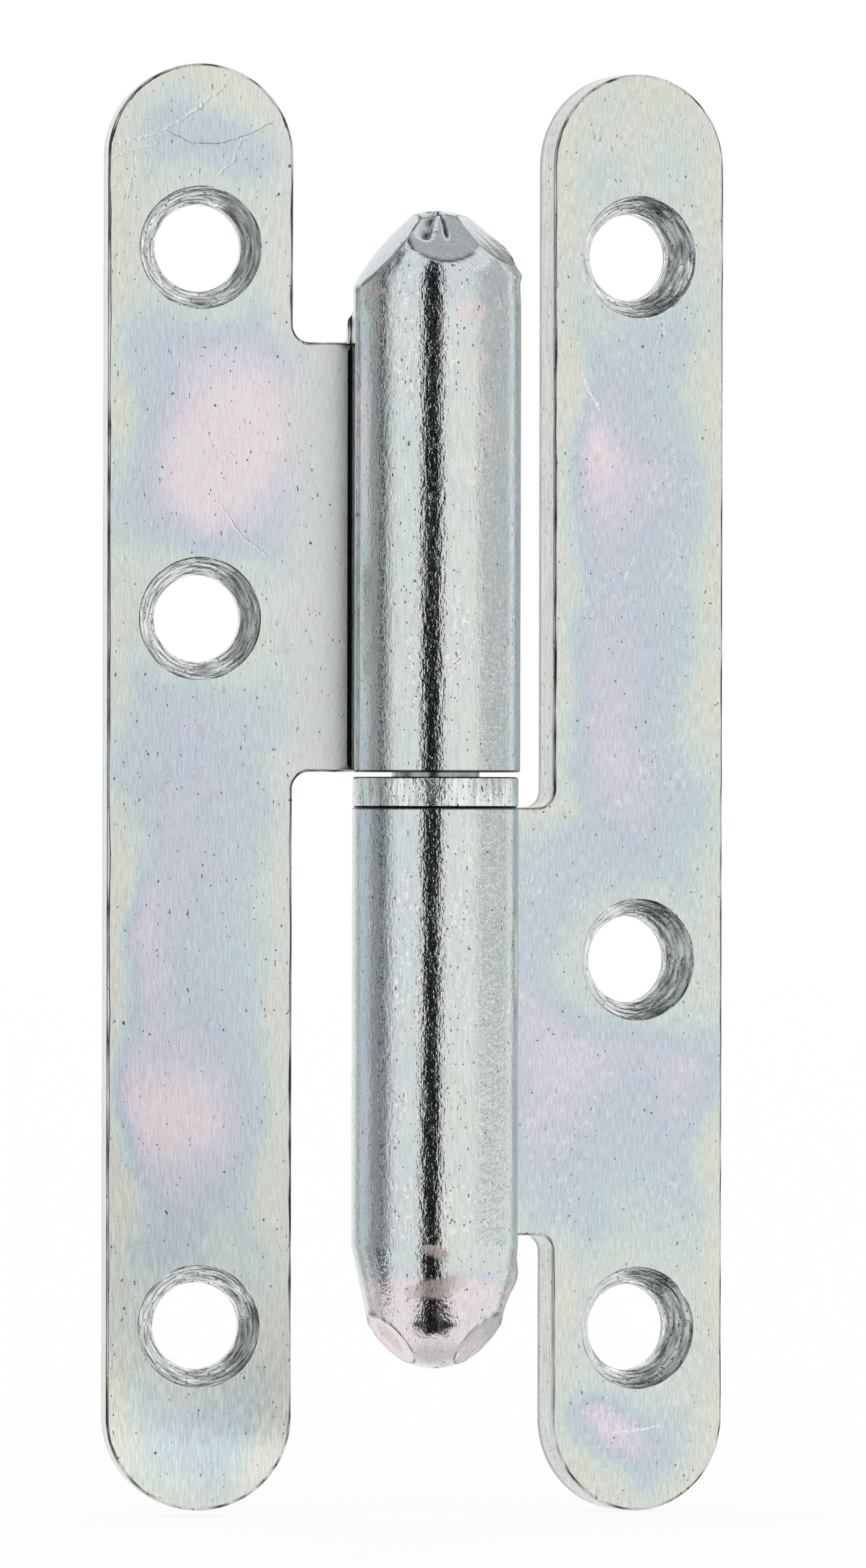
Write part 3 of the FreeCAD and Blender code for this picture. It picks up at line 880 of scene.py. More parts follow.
class ShapeTrees:
    """The Geometry Nodes trees for what is turned or repeated."""

    def __init__(self) -> None:
        """Builds each tree once."""
        self.holes = self.build_holes()
        self.ring = self.build_ring()
        self.pin = self.build_pin()

    @staticmethod
    def start(name: str, sizes: dict[str, float | int]) -> Graph:
        """Starts a tree with named sizes and a material.

        Args:
            name: The tree's name.
            sizes: Default values by the names of the sizes.

        Returns:
            The tree's graph.
        """
        inputs = {"Geometry": (GEOMETRY, None)}
        for label, value in sizes.items():
            inputs[label] = (WHOLE if isinstance(value, int) else FLOAT, value)
        inputs["Material"] = ("NodeSocketMaterial", None)
        return new_group(name, "GeometryNodeTree", inputs, {"Geometry": GEOMETRY})

    @staticmethod
    def end(graph: Graph, shape: Node) -> Tree:
        """Ends a tree: joins its instances, sets the material and gives the result.

        Args:
            graph: The tree's graph.
            shape: The node that gives the finished geometry.

        Returns:
            The tree.
        """
        real = graph.node("GeometryNodeRealizeInstances", {"Geometry": shape.outputs[0]})
        values = {"Geometry": real.outputs[0], "Material": graph.source["Material"]}
        dressed = graph.node("GeometryNodeSetMaterial", values)
        graph.feed(graph.sink["Geometry"], dressed.outputs[0])
        return graph.tree

    def build_holes(self) -> Tree:
        """Builds the countersunk screw holes, one at each point, with the cutter's marks.

        Returns:
            The tree.
        """
        sizes = {
            "Sink Radius": 4.7,
            "Hole Radius": 3.3,
            "Sink Depth": 2.0,
            "Sheet": 3.0,
            "Mark Depth": 0.006,
            "Segments": 96,
            "Rings": 25,
            "Seed": 4,
        }
        graph = self.start("Countersunk holes", sizes)
        size = graph.source
        around = graph.plus(size["Segments"], 1.0)
        values = {0: 1.0, 1: 1.0, 2: around, 3: size["Rings"]}
        grid = graph.node("GeometryNodeMeshGrid", values).outputs[0]
        place = graph.split(graph.node("GeometryNodeInputPosition").outputs[0])
        turn = graph.times(graph.plus(place[0], 0.5), math.tau)
        down = graph.plus(place[1], 0.5)
        cone_share, margin = 0.8, 0.01
        radius = graph.ramp(down, 0.0, cone_share, size["Sink Radius"], size["Hole Radius"])
        sunk = graph.ramp(down, 0.0, cone_share, 0.0, size["Sink Depth"])
        land = graph.minus(size["Sheet"], size["Sink Depth"])
        depth = graph.plus(sunk, graph.ramp(down, cone_share, 1.0, 0.0, land))
        ring = graph.math("ROUND", graph.times(down, graph.minus(size["Rings"], 1.0)))
        random = graph.node("FunctionNodeRandomValue", data_type="FLOAT")
        sockets = {socket.identifier: socket for socket in random.inputs}
        graph.feed(sockets["Min_001"], graph.times(size["Mark Depth"], -1.0))
        graph.feed(sockets["Max_001"], size["Mark Depth"])
        graph.feed(sockets["ID"], ring)
        graph.feed(sockets["Seed"], size["Seed"])
        chance = next(socket for socket in random.outputs if socket.identifier == "Value_001")
        below = graph.math("GREATER_THAN", down, margin)
        above = graph.math("LESS_THAN", down, cone_share - margin)
        radius = graph.plus(radius, graph.times(chance, graph.times(below, above)))
        x = graph.times(radius, graph.math("COSINE", turn))
        y = graph.times(radius, graph.math("SINE", turn))
        spot = graph.join(x, y, graph.times(depth, -1.0))
        wall = graph.node("GeometryNodeSetPosition", {"Geometry": grid, "Position": spot})
        values = {"Points": size["Geometry"], "Instance": wall.outputs[0]}
        return self.end(graph, graph.node("GeometryNodeInstanceOnPoints", values))

    def build_ring(self) -> Tree:
        """Builds the spacer ring: a rounded section carried round a circle.

        Returns:
            The tree.
        """
        sizes = {
            "Inner Radius": 3.45,
            "Outer Radius": 6.3,
            "Thickness": 2.3,
            "Edge Round": 0.25,
            "Segments": 160,
            "Round Steps": 5,
        }
        graph = self.start("Turned ring", sizes)
        size = graph.source
        middle = graph.times(graph.plus(size["Inner Radius"], size["Outer Radius"]), 0.5)
        width = graph.minus(size["Outer Radius"], size["Inner Radius"])
        values = {"Resolution": size["Segments"], "Radius": middle}
        path = graph.node("GeometryNodeCurvePrimitiveCircle", values).outputs[0]
        values = {0: width, 1: size["Thickness"]}
        section = graph.node("GeometryNodeCurvePrimitiveQuadrilateral", values).outputs[0]
        values = {"Curve": section, "Count": size["Round Steps"], "Radius": size["Edge Round"]}
        rounded = graph.node("GeometryNodeFilletCurve", values, mode="POLY").outputs[0]
        values = {"Curve": path, "Profile Curve": rounded}
        return self.end(graph, graph.node("GeometryNodeCurveToMesh", values))

    def build_pin(self) -> Tree:
        """Builds the hinge pin: a rod with a bevelled tip and a chamfered foot.

        Returns:
            The tree.
        """
        sizes = {
            "Radius": 3.35,
            "Foot": -38.45,
            "Tip": 31.0,
            "Tip Bevel": 1.2,
            "Foot Bevel": 0.6,
            "Segments": 96,
            "Rings": 230,
        }
        graph = self.start("Turned pin", sizes)
        size = graph.source
        foot, tip, radius = size["Foot"], size["Tip"], size["Radius"]
        values = {
            "Vertices": size["Segments"],
            "Side Segments": size["Rings"],
            "Radius": radius,
            "Depth": graph.minus(tip, foot),
        }
        rod = graph.node("GeometryNodeMeshCylinder", values, fill_type="TRIANGLE_FAN").outputs[0]
        place = graph.split(graph.node("GeometryNodeInputPosition").outputs[0])
        height = graph.plus(place[2], graph.times(graph.plus(tip, foot), 0.5))
        tip_cut = graph.minus(size["Tip Bevel"], graph.minus(tip, height))
        foot_cut = graph.minus(size["Foot Bevel"], graph.minus(height, foot))
        cut = graph.math("MAXIMUM", graph.math("MAXIMUM", tip_cut, foot_cut), 0.0)
        share = graph.math("DIVIDE", graph.minus(radius, cut), radius)
        spot = graph.join(graph.times(place[0], share), graph.times(place[1], share), height)
        values = {"Geometry": rod, "Position": spot}
        return self.end(graph, graph.node("GeometryNodeSetPosition", values))


@dataclass
class Shell:
    """Points and faces that are gathered before they become a mesh."""

    points: list = field(default_factory=list)
    faces: list = field(default_factory=list)
    regions: list = field(default_factory=list)

    def add(self, points: Array, faces: list, region: Region) -> None:
        """Adds faces that index into their own points.

        Args:
            points: The points.
            faces: Tuples of point numbers.
            region: The part of the leaf that the faces are on.
        """
        first = len(self.points)
        self.points.extend(map(tuple, points))
        self.faces.extend(tuple(number + first for number in face) for face in faces)
        self.regions.extend([region.value] * len(faces))

    def add_grid(self, grid: Array, region: Region) -> None:
        """Adds a sheet of quads.

        Args:
            grid: Points by row and column.
            region: The part of the leaf that the faces are on.
        """
        rows, columns = grid.shape[:2]
        places = [(row, column) for row in range(rows - 1) for column in range(columns - 1)]
        corners = [row * columns + column for row, column in places]
        faces = [(n, n + 1, n + columns + 1, n + columns) for n in corners]
        self.add(grid.reshape(-1, 3), faces, region)


@dataclass
class Piece:
    """A dressed piece of the hinge, which replaces one CAD node."""

    name: str
    node: str
    body: Body
    slot: Slot

    @staticmethod
    def own_points(mesh: Mesh) -> Array:
        """Reads a mesh's points.

        Args:
            mesh: The mesh.

        Returns:
            The points, one in each row.
        """
        own = np.zeros(len(mesh.vertices) * 3)
        mesh.vertices.foreach_get("co", own)
        return own.reshape(-1, 3)

    @staticmethod
    def write(mesh: Mesh, name: str, values: Array) -> None:
        """Writes a value at each point of a mesh, for the finishes."""
        layer = mesh.attributes.new(name, "FLOAT", "POINT")
        layer.data.foreach_set("value", values.astype(np.float32))

    def add(self, mesh: Mesh) -> Object:
        """Adds the piece's mesh to the scene and puts it on its body.

        Args:
            mesh: The finished mesh.

        Returns:
            The piece's object.
        """
        made = add_object(self.name, mesh)
        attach(made, self.body.value)
        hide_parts(self.node)
        return made


@dataclass
class Leaf(Piece):
    """A stamped leaf with its rolled, swaged knuckle, made as one sheet with its edges."""

    place: Placement
    reach: float
    bore: float
    dome: Dome
    patches: tuple[FilmPatch, ...]
    dull_web: float
    dome_film: float
    edge: SheetEdge = SheetEdge()
    length: float = 110.0
    strip_width: float = 14.2
    thickness: float = 3.0
    web_height: float = 32.7
    web_corner: float = 1.3
    knuckle_start: float = 1.15
    knuckle_length: float = 42.6
    root_reach: float = 6.3
    tail_flat: float = 0.35
    seam_gap: float = 0.3
    rib_height: float = 0.26
    rib_place: float = -0.9
    rib_width: float = 0.26
    hole_radius: float = 3.3
    sink_radius: float = 4.7
    sink_depth: float = 2.0
    end_distance: float = 14.0
    middle_hole: float = 12.8
    hole_segments: int = 96
    arc_step: float = 4.0
    edge_pitch: float = 2.0
    web_pitch: float = 0.8
    face_pitch: float = 1.0
    root_steps: int = 9
    arc_steps: int = 160
    rib_steps: int = 18
    tail_steps: int = 11
    straight_rings: int = 60
    foot_rings: tuple[float, ...] = (0.08, 0.2, 0.35)
    foot_rise: float = 0.02
    burr_rings: int = 7
    crease_lines: tuple[float, ...] = (-6.15, -6.30, -6.35, -6.6)
    wave_depth: float = 0.012
    dent_depth: float = 0.05
    broad_pull: float = 2.6
    small_pull: float = 0.7
    upward_pull: float = 1.3
    base_film: float = 0.31
    edge_fade: tuple[float, float] = (-0.5, 3.2)
    halo_film: float = 0.42
    halo_width: float = 4.0
    side_film: float = 0.17
    dome_fade: tuple[float, float] = (-7.8, -6.2)
    # Where the painted shade lines beside the tail's rib lie, and how wide they are.
    rib_shade_place: float = 0.42
    rib_shade_width: float = 0.13
    merge_distance: float = 4e-5

    def __post_init__(self) -> None:
        """Works out the sizes that follow from the others."""
        self.radius = self.bore + self.thickness
        self.top = self.knuckle_start + self.knuckle_length
        self.web_top = self.knuckle_start + self.web_height
        self.screw_line = self.reach - self.strip_width / 2
        end = self.length / 2 - self.end_distance
        self.holes = [(-self.screw_line, height) for height in (end, self.middle_hole, -end)]
        self.rows = self.edge.rows(self.thickness)

    def section(self) -> tuple[Array, Array]:
        """Draws the rolled section from the web to the tail's end.

        Returns:
            Matching outer and inner points.
        """
        x = np.linspace(-self.root_reach, 0.0, self.root_steps, endpoint=False)
        end = np.linspace(0.0, self.bore - self.seam_gap, self.tail_steps)
        lines = []
        for radius, rib_height in ((self.radius, self.rib_height), (self.bore, 0.0)):
            last = math.pi + math.asin((radius - self.tail_flat) / radius)
            turn = np.linspace(0.0, last, self.arc_steps, endpoint=False)
            ribbed = np.linspace(radius * math.cos(last), 0.0, self.rib_steps, endpoint=False)
            y = np.concatenate((ribbed, end))
            rib = rib_height * np.exp(-(((y - self.rib_place) / self.rib_width) ** 2))
            root = np.column_stack((x, np.full_like(x, radius)))
            arc = np.column_stack((radius * np.sin(turn), radius * np.cos(turn)))
            tail = np.column_stack((self.tail_flat - radius - rib, y))
            lines.append(np.vstack((root, arc, tail)))
        return lines[0], lines[1]

    def levels(self) -> tuple[Array, Array, int, int]:
        """Lists the heights of the knuckle's rings and the radius that each may reach.

        Returns:
            Heights, radii, and the numbers of the rings at the web's top and the dome's shoulder.
        """
        straight = np.linspace(self.knuckle_start, self.web_top, self.straight_rings)
        foot = straight[0] + np.array(self.foot_rings)
        straight = np.concatenate((straight[:1], foot, straight[1:]))
        free = np.full(len(straight), np.inf)
        taper = self.top - self.dome.taper_drop
        corner = math.hypot(self.root_reach, self.radius)
        burr = np.linspace(self.web_top, taper, self.burr_rings)[1:]
        burr_reach = np.linspace(corner, self.radius, self.burr_rings)[1:]
        rings = self.dome.meridian(self.radius, self.top)
        count = self.dome.taper_rings
        slope = np.linspace(taper, rings[0][1], count)[1:-1]
        slope_reach = np.linspace(self.radius, rings[0][0], count)[1:-1]
        heights = np.concatenate((straight, burr, slope, [height for _, height in rings]))
        reach = np.concatenate((free, burr_reach, slope_reach, [radius for radius, _ in rings]))
        return heights, reach, len(straight) - 1, len(heights) - len(rings)

    def knuckle(self) -> tuple[Array, int]:
        """Rolls and swages the knuckle.

        Returns:
            Points by edge row, ring and section point, and the number of the ring at the web's top.
        """
        outer, inner = self.section()
        heights, reach, web_ring, dome_ring = self.levels()
        count, last_ring = len(outer), len(heights) - 1
        open_up = smooth_step(0.0, self.root_steps, np.arange(count, dtype=float))
        points = np.zeros((len(self.rows), len(heights), count, 3))
        dents = self.dents(outer, heights, dome_ring) * open_up
        for row, (inset, depth) in enumerate(self.rows):
            share = depth / self.thickness
            line = outer * (1 - share) + inner * share
            line[0, 0] = -self.root_reach + inset
            line[-1, 1] = self.bore - self.seam_gap - inset
            own_reach = np.hypot(line[:, 0], line[:, 1])
            angle = np.degrees(np.arctan2(line[:, 1], line[:, 0]))
            weight = share * open_up
            for ring, height in enumerate(heights):
                limit = np.full(count, reach[ring])
                if ring > web_ring:
                    limit = self.dome.press(limit, angle, self.top - height)
                closing = max(ring - dome_ring, 0) / (last_ring - dome_ring)
                if ring >= dome_ring:
                    hollow = limit * (1 - closing) + self.dome.hollow_radius * closing
                    limit = limit * (1 - weight) + hollow * weight
                radius = np.minimum(own_reach, limit)
                for bulge in self.dome.bulges:
                    radius = radius + bulge.lift(angle, height) * (1 - share) * open_up
                radius = radius - dents[ring] * (1 - share)
                level = height - closing * weight * self.dome.hollow_drop
                if ring < len(self.foot_rings) + 2:
                    level = np.maximum(level, self.knuckle_start + inset + self.foot_rise * ring)
                elif ring == web_ring:
                    level = level - inset
                points[row, ring, :, :2] = line * (radius / own_reach)[:, None]
                points[row, ring, :, 2] = level
        self.dome.crease(points[:, dome_ring:])
        return points, web_ring

    def dents(self, outer: Array, heights: Array, dome_ring: int) -> Array:
        """Gives the slight unevenness that rolling and swaging leave on the knuckle.

        Args:
            outer: The section's outer points.
            heights: Heights of the rings.
            dome_ring: Number of the ring at the dome's shoulder.

        Returns:
            Depth of the unevenness by ring and section point.
        """
        depths = []
        for ring, height in enumerate(heights):
            places = np.column_stack((outer, np.full(len(outer), height)))
            wave = noise_at(places * np.array((0.55, 0.55, 0.22)))
            dent = noise_at(places * 1.1 + np.array((9.0, 0.0, 0.0)))
            hammered = smooth_step(-4.0, 6.0, ring - dome_ring)
            depths.append(self.wave_depth * (1 + wave) + hammered * self.dent_depth * (1 + dent))
        return np.array(depths)

    def outline(self) -> tuple[Array, Array]:
        """Walks the blank's outline from the web's lower edge round the strip to its upper edge.

        Returns:
            The outline's points and the inward direction at each.
        """
        points: list[tuple[float, float]] = []
        inward: list[tuple[float, float]] = []

        def straight(first: tuple, last: tuple, normal: tuple, pitch: float) -> None:
            """Adds a straight run without its last point.

            Args:
                first: Where it starts.
                last: Where it ends.
                normal: Its inward direction.
                pitch: Greatest distance between its points.
            """
            count = max(2, int(math.dist(first, last) / pitch))
            for step in range(count):
                points.append(tuple(a + (b - a) * (step / count) for a, b in zip(first, last)))
                inward.append(normal)

        def arc(x: float, z: float, radius: float, first: float, last: float, sign: float) -> None:
            """Adds an arc without its last point.

            Args:
                x: Its centre's place across the leaf.
                z: Its centre's place up the leaf.
                radius: Its radius.
                first: Angle in degrees at which it starts.
                last: Angle at which it ends.
                sign: 1 where the outline is hollow, -1 where it is round.
            """
            count = max(6, int(abs(last - first) / self.arc_step))
            for step in range(count):
                turn = math.radians(first + (last - first) * step / count)
                spoke = (math.cos(turn), math.sin(turn))
                points.append((x + radius * spoke[0], z + radius * spoke[1]))
                inward.append((sign * spoke[0], sign * spoke[1]))

        inner, outer = self.strip_width - self.reach, -self.reach
        half, middle = self.strip_width / 2, -self.screw_line
        end = self.length / 2 - half
        corner, root = self.web_corner, -self.root_reach
        low, high = self.knuckle_start, self.web_top
        straight((root, low), (inner + corner, low), (0.0, 1.0), self.web_pitch)
        points.pop(0)
        inward.pop(0)
        arc(inner + corner, low - corner, corner, 90.0, 180.0, 1.0)
        straight((inner, low - corner), (inner, -end), (-1.0, 0.0), self.edge_pitch)
        arc(middle, -end, half, 0.0, -180.0, -1.0)
        straight((outer, -end), (outer, end), (1.0, 0.0), self.edge_pitch)
        arc(middle, end, half, 180.0, 0.0, -1.0)
        straight((inner, end), (inner, high + corner), (-1.0, 0.0), self.edge_pitch)
        arc(inner + corner, high + corner, corner, 180.0, 270.0, 1.0)
        straight((inner + corner, high), (root, high), (0.0, -1.0), self.web_pitch)
        return np.array(points), np.array(inward)

    def edge_columns(self, knuckle: Array, web_ring: int) -> tuple[Array, int]:
        """Lines up the sheet's edge all round the blank.

        Args:
            knuckle: The knuckle's points.
            web_ring: Number of the ring at the web's top.

        Returns:
            Points by column and edge row, and the number of columns on the flat blank.
        """
        points, inward = self.outline()
        flat = np.zeros((len(points), len(self.rows), 3))
        wobble = noise_at(np.column_stack((points * 1.3, np.full(len(points), 3.0))))
        for row, (inset, depth) in enumerate(self.rows):
            rolled = inset / self.edge.roll_reach if depth > self.thickness / 2 else 0.0
            spot = points + inward * (inset + self.edge.raggedness * rolled * wobble)[:, None]
            flat[:, row, (0, 2)] = spot
            flat[:, row, 1] = self.radius - depth
        rings = np.moveaxis(knuckle, 0, 2)
        root, tip = rings[web_ring:, 0], rings[-1, 1:]
        tail, foot = rings[:-1, -1][::-1], rings[0, :-1][::-1]
        return np.concatenate((flat, root, tip, tail, foot)), len(points)

    def face_inside(self, x: Array, z: Array) -> Array:
        """Measures how far inside the blank's flat part points are.

        Args:
            x: Places across the leaf.
            z: Places up the leaf.

        Returns:
            Distance to the nearest edge of the strip or web.
        """
        half = self.strip_width / 2
        end = self.length / 2 - half
        strip = half - np.hypot(x + self.screw_line, z - np.clip(z, -end, end))
        web = np.minimum(z - self.knuckle_start, self.web_top - z)
        return np.maximum(strip, np.where(x > -self.screw_line, web, -half))

    def fill_face(self, shell: Shell, border: Array, hole_radius: float, depth: float) -> None:
        """Fills the flat front or back of the blank round its holes.

        Args:
            shell: The shell to add to.
            border: The border's points across and up the leaf, in order.
            hole_radius: Radius of the holes at this face.
            depth: The face's place through the sheet, from the back.
        """
        points = [Vector(point) for point in border]
        edges = [(number, (number + 1) % len(points)) for number in range(len(points))]
        count = self.hole_segments
        spokes = [number * (2 * math.pi / count) for number in range(count)]
        for across, height in self.holes:
            edges += [(len(points) + n, len(points) + (n + 1) % count) for n in range(count)]
            for turn in spokes:
                x, z = hole_radius * math.cos(turn), hole_radius * math.sin(turn)
                points.append(Vector((across + x, height + z)))
        pitch, half = self.face_pitch, self.length / 2
        columns = np.arange(-self.reach, -self.root_reach, pitch)
        x, z = np.meshgrid(columns, np.arange(-half, half, pitch))
        clear = (self.face_inside(x, z) > pitch) & (x < -self.root_reach - pitch)
        for across, height in self.holes:
            clear &= np.hypot(x - across, z - height) > hole_radius + pitch / 2
        points += [Vector(point) for point in zip(x[clear], z[clear])]
        heights = np.arange(self.knuckle_start + 0.5, self.web_top - 0.4, 0.45)
        for across in self.crease_lines:
            if across < border[:, 0].max():
                points += [Vector((across, height)) for height in heights]
        corners, _, faces, _, _, _ = geometry.delaunay_2d_cdt(points, edges, [], 2, 1e-5)
        flat = np.array([tuple(corner) for corner in corners])
        middles = np.array([flat[list(face)].mean(axis=0) for face in faces])
        solid = np.ones(len(faces), dtype=bool)
        for hole in self.holes:
            solid &= np.hypot(*(middles - hole).T) > hole_radius
        placed = np.insert(flat, 1, self.radius - depth, axis=1)
        shell.add(placed, [face for face, kept in zip(faces, solid) if kept], Region.FACE)

    def fill_holes(self, shell: Shell, trees: ShapeTrees) -> None:
        """Adds the countersunk walls of the screw holes.

        Args:
            shell: The shell to add to.
            trees: The Geometry Nodes trees.
        """
        sizes = {
            "Sink Radius": self.sink_radius,
            "Hole Radius": self.hole_radius,
            "Sink Depth": self.sink_depth,
            "Sheet": self.thickness,
            "Segments": self.hole_segments,
        }
        starts = [(x, z, 0.0) for x, z in self.holes]
        wall = piece_from_tree(f"{self.name}_holes", trees.holes, sizes, starts)
        x, z, sunk = self.own_points(wall).T
        placed = np.column_stack((x, self.bore - sunk, z))
        shell.add(placed, [tuple(face.vertices) for face in wall.polygons], Region.SINK)
        bpy.data.meshes.remove(wall)

    def shell(self, trees: ShapeTrees) -> Shell:
        """Gathers the whole leaf in its own frame.

        Args:
            trees: The Geometry Nodes trees.

        Returns:
            The leaf's shell.
        """
        made = Shell()
        knuckle, web_ring = self.knuckle()
        back, front = 0, len(self.rows) - 1
        for row in (back, front):
            made.add_grid(knuckle[row][:, : self.root_steps + 1], Region.FACE)
            made.add_grid(knuckle[row][:, self.root_steps :], Region.KNUCKLE)
        columns, flat_count = self.edge_columns(knuckle, web_ring)
        made.add_grid(np.concatenate((columns, columns[:1])), Region.EDGE)
        for row, hole_radius in ((back, self.hole_radius), (front, self.sink_radius)):
            joint = knuckle[row, : web_ring + 1, 0][::-1]
            border = np.concatenate((columns[:flat_count, row], joint))[:, (0, 2)]
            self.fill_face(made, border, hole_radius, self.rows[row][1])
        self.fill_holes(made, trees)
        return made

    def on_knuckle(self, points: Array) -> Array:
        """Returns which points are on the rolled knuckle."""
        return np.hypot(points[:, 0], points[:, 1]) < self.radius + SKIN

    def drift(self, points: Array) -> tuple[Array, Array]:
        """Pulls the film's clouds out of shape.

        Args:
            points: Points in the leaf's own frame.

        Returns:
            How far the clouds are pulled aside and upwards at each point.
        """
        pulls = []
        for layer in DRIFT_LAYERS:
            broad = points * np.array((0.14, 0.0, 0.11)) + np.array((0.0, layer, 0.0))
            small = points * np.array((0.45, 0.0, 0.40)) + np.array((0.0, layer + 2.4, 0.0))
            pulls.append(self.broad_pull * noise_at(broad) + self.small_pull * noise_at(small))
        return pulls[0], self.upward_pull * pulls[1]

    def film(self, points: Array) -> Array:
        """Lays the passivation film: thin at edges and holes, thicker in clouds.

        Args:
            points: Points in the leaf's own frame.

        Returns:
            Film thickness from 0 to 1 at each point.
        """
        x, _, z = points.T
        aside, upward = self.drift(points)
        across, up = x + aside, z + upward
        value = np.full(len(points), self.base_film)
        for patch in self.patches:
            value = value + patch.cloud(across, up - self.place.upward(patch.up))
        value = value * smooth_step(*self.edge_fade, self.face_inside(across, up))
        for hole_x, hole_z in self.holes:
            gap = np.hypot(across - hole_x, up - hole_z) - self.sink_radius
            clear = smooth_step(0.0, self.halo_width, gap)
            value = value * (self.halo_film + (1 - self.halo_film) * clear)
        on_dome = smooth_step(*self.dome_fade, z + 0.8 * upward - self.top)
        flanks = 0.26 * smooth_step(2.0, 6.0, x) + 0.12 * smooth_step(0.5, -3.0, x)
        side = self.side_film + flanks
        rolled = side + (self.dome_film - side) * on_dome
        return np.clip(np.where(self.on_knuckle(points), rolled, value), 0.0, 1.0)

    def painted_shade(self, points: Array) -> Array:
        """Finds where shade and dark reflections are painted near black: in creases and grooves, on
        broken edges and at the joints.

        Args:
            points: Points in the leaf's own frame.

        Returns:
            Share of painted shade from 0 to 1 at each point.
        """
        x, y, z = points.T
        away, depth = np.hypot(x, y), y - self.bore
        start, web_top = self.knuckle_start, self.web_top
        patchy = noise_at(points * 0.8)

        def speckled(where: Array | bool, share: float, gain: float, most: float) -> Array:
            """Returns painted shade that comes and goes over some of the points."""
            return np.where(where, np.clip(share + gain * patchy, 0.0, most), 0.0)

        # Masks for the near-black paint: shade in the web's crease where the tail meets it and at
        # the knuckle's foot against the ring, dark reflections along the rolled front edges, and a
        # darkened burr above the web.
        web = (np.abs(depth) < SKIN) & (x < 0.0) & (z > start + 0.2) & (z < web_top + 0.1)
        rolled = (depth > 0.005) & (depth < 0.13) & (x < -self.root_reach)
        burr = (z > web_top + 0.3) & (away > self.radius + 0.15) & (x < -3.0) & (x > -8.0)
        foot = (z < start + 0.17) & (z > start - SKIN) & (away > self.radius - 1.2)
        tail = (x < -5.5) & (away < self.radius + 0.25) & (y < 0.5) & (z < web_top + 1.5)
        # Painted shade: thin dark lines on both sides of the tail's rib.
        off_rib = np.abs(y - self.rib_place) - self.rib_shade_place
        beside = np.exp(-((off_rib / self.rib_shade_width) ** 2))
        marks = self.dome.marks(points, self.radius, self.top)
        # The layers below paint shade as near-black colour; the marks add it along the rims of the
        # dome's flats and in the beds of its grooves.
        layers = (
            np.where(web, smooth_step(-6.34, -6.305, x), 0.0),
            speckled(rolled, 0.45, 1.6, 0.9),
            speckled(burr, 0.5, 1.2, 0.85),
            np.where(foot & self.on_knuckle(points), 0.9, 0.0),
            speckled(True, 0.75, 1.3, 1.0) * marks,
            speckled(tail, 0.55, 0.9, 0.8) * beside,
        )
        return np.max(layers, axis=0)

    def stain(self, points: Array) -> Array:
        """Lays the matt stains on the knuckle, soft at their edges.

        Args:
            points: Points in the leaf's own frame.

        Returns:
            Share of stain from 0 to 1 at each point.
        """
        x, y, z = points.T
        angle = np.degrees(np.arctan2(y, x))
        covers = [stain.cover(angle, self.top - z) for stain in self.dome.stains]
        return np.max(covers, axis=0) * self.on_knuckle(points)

    def dull(self, points: Array) -> Array:
        """Returns how far the film is rubbed off beside the knuckle."""
        return self.dull_web * smooth_step(-13.0, -9.5, points[:, 0]) * ~self.on_knuckle(points)

    def build(self, trees: ShapeTrees, materials: dict[Region, Material]) -> Object:
        """Makes the leaf's object and puts it on its body.

        Args:
            trees: The Geometry Nodes trees.
            materials: The finish of each region.

        Returns:
            The leaf's object.
        """
        shell = self.shell(trees)
        mesh = bpy.data.meshes.new(self.name)
        mesh.from_pydata(shell.points, [], shell.faces)
        for region in Region:
            mesh.materials.append(materials[region])
        mesh.polygons.foreach_set("material_index", shell.regions)
        smooth = [region != Region.FACE.value for region in shell.regions]
        mesh.polygons.foreach_set("use_smooth", smooth)
        work = bmesh.new()
        work.from_mesh(mesh)
        bmesh.ops.remove_doubles(work, verts=work.verts, dist=self.merge_distance)
        bmesh.ops.dissolve_degenerate(work, edges=work.edges, dist=1e-6)
        bmesh.ops.recalc_face_normals(work, faces=work.faces)
        work.to_mesh(mesh)
        work.free()
        self.dress(mesh)
        return self.add(mesh)

    def map_holes(self, mesh: Mesh, own: Array, blank: Array) -> None:
        """Lays the blank's map round each screw hole instead of across it.

        Args:
            mesh: The leaf's mesh.
            own: Its points in the leaf's own frame.
            blank: The map's places by face corner, changed in place.
        """
        heights = np.array(self.holes)[:, 1]
        for face in mesh.polygons:
            if face.material_index != Region.SINK.value:
                continue
            spots = own[list(face.vertices)]
            across, height = self.holes[np.argmin(np.abs(heights - spots[0, 2]))]
            turn = np.arctan2(spots[:, 2] - height, spots[:, 0] - across)
            turn = np.where(turn - turn.min() > math.pi, turn - 2 * math.pi, turn)
            corners = list(face.loop_indices)
            blank[corners, 0] = turn * self.sink_radius + height
            blank[corners, 1] = spots[:, 1]

    def dress(self, mesh: Mesh) -> None:
        """Writes the finish's values and the blank's map on the mesh, then puts it in its place.

        Args:
            mesh: The leaf's mesh, in its own frame.
        """
        own = self.own_points(mesh)
        for layer in (self.film, self.dull, self.painted_shade, self.stain):
            self.write(mesh, layer.__name__, layer(own))
        corners = np.zeros(len(mesh.loops), dtype=np.int32)
        mesh.loops.foreach_get("vertex_index", corners)
        up = -own[:, 2] if self.place.end_for_end else own[:, 2]
        blank = np.column_stack((-own[:, 0], up))[corners]
        self.map_holes(mesh, own, blank)
        places = (blank / MAP_SPAN).astype(np.float32)
        mesh.uv_layers.new(name=BLANK_MAP).uv.foreach_set("vector", places.ravel())
        mesh.vertices.foreach_set("co", self.place.points(own).ravel())
        mesh.update()


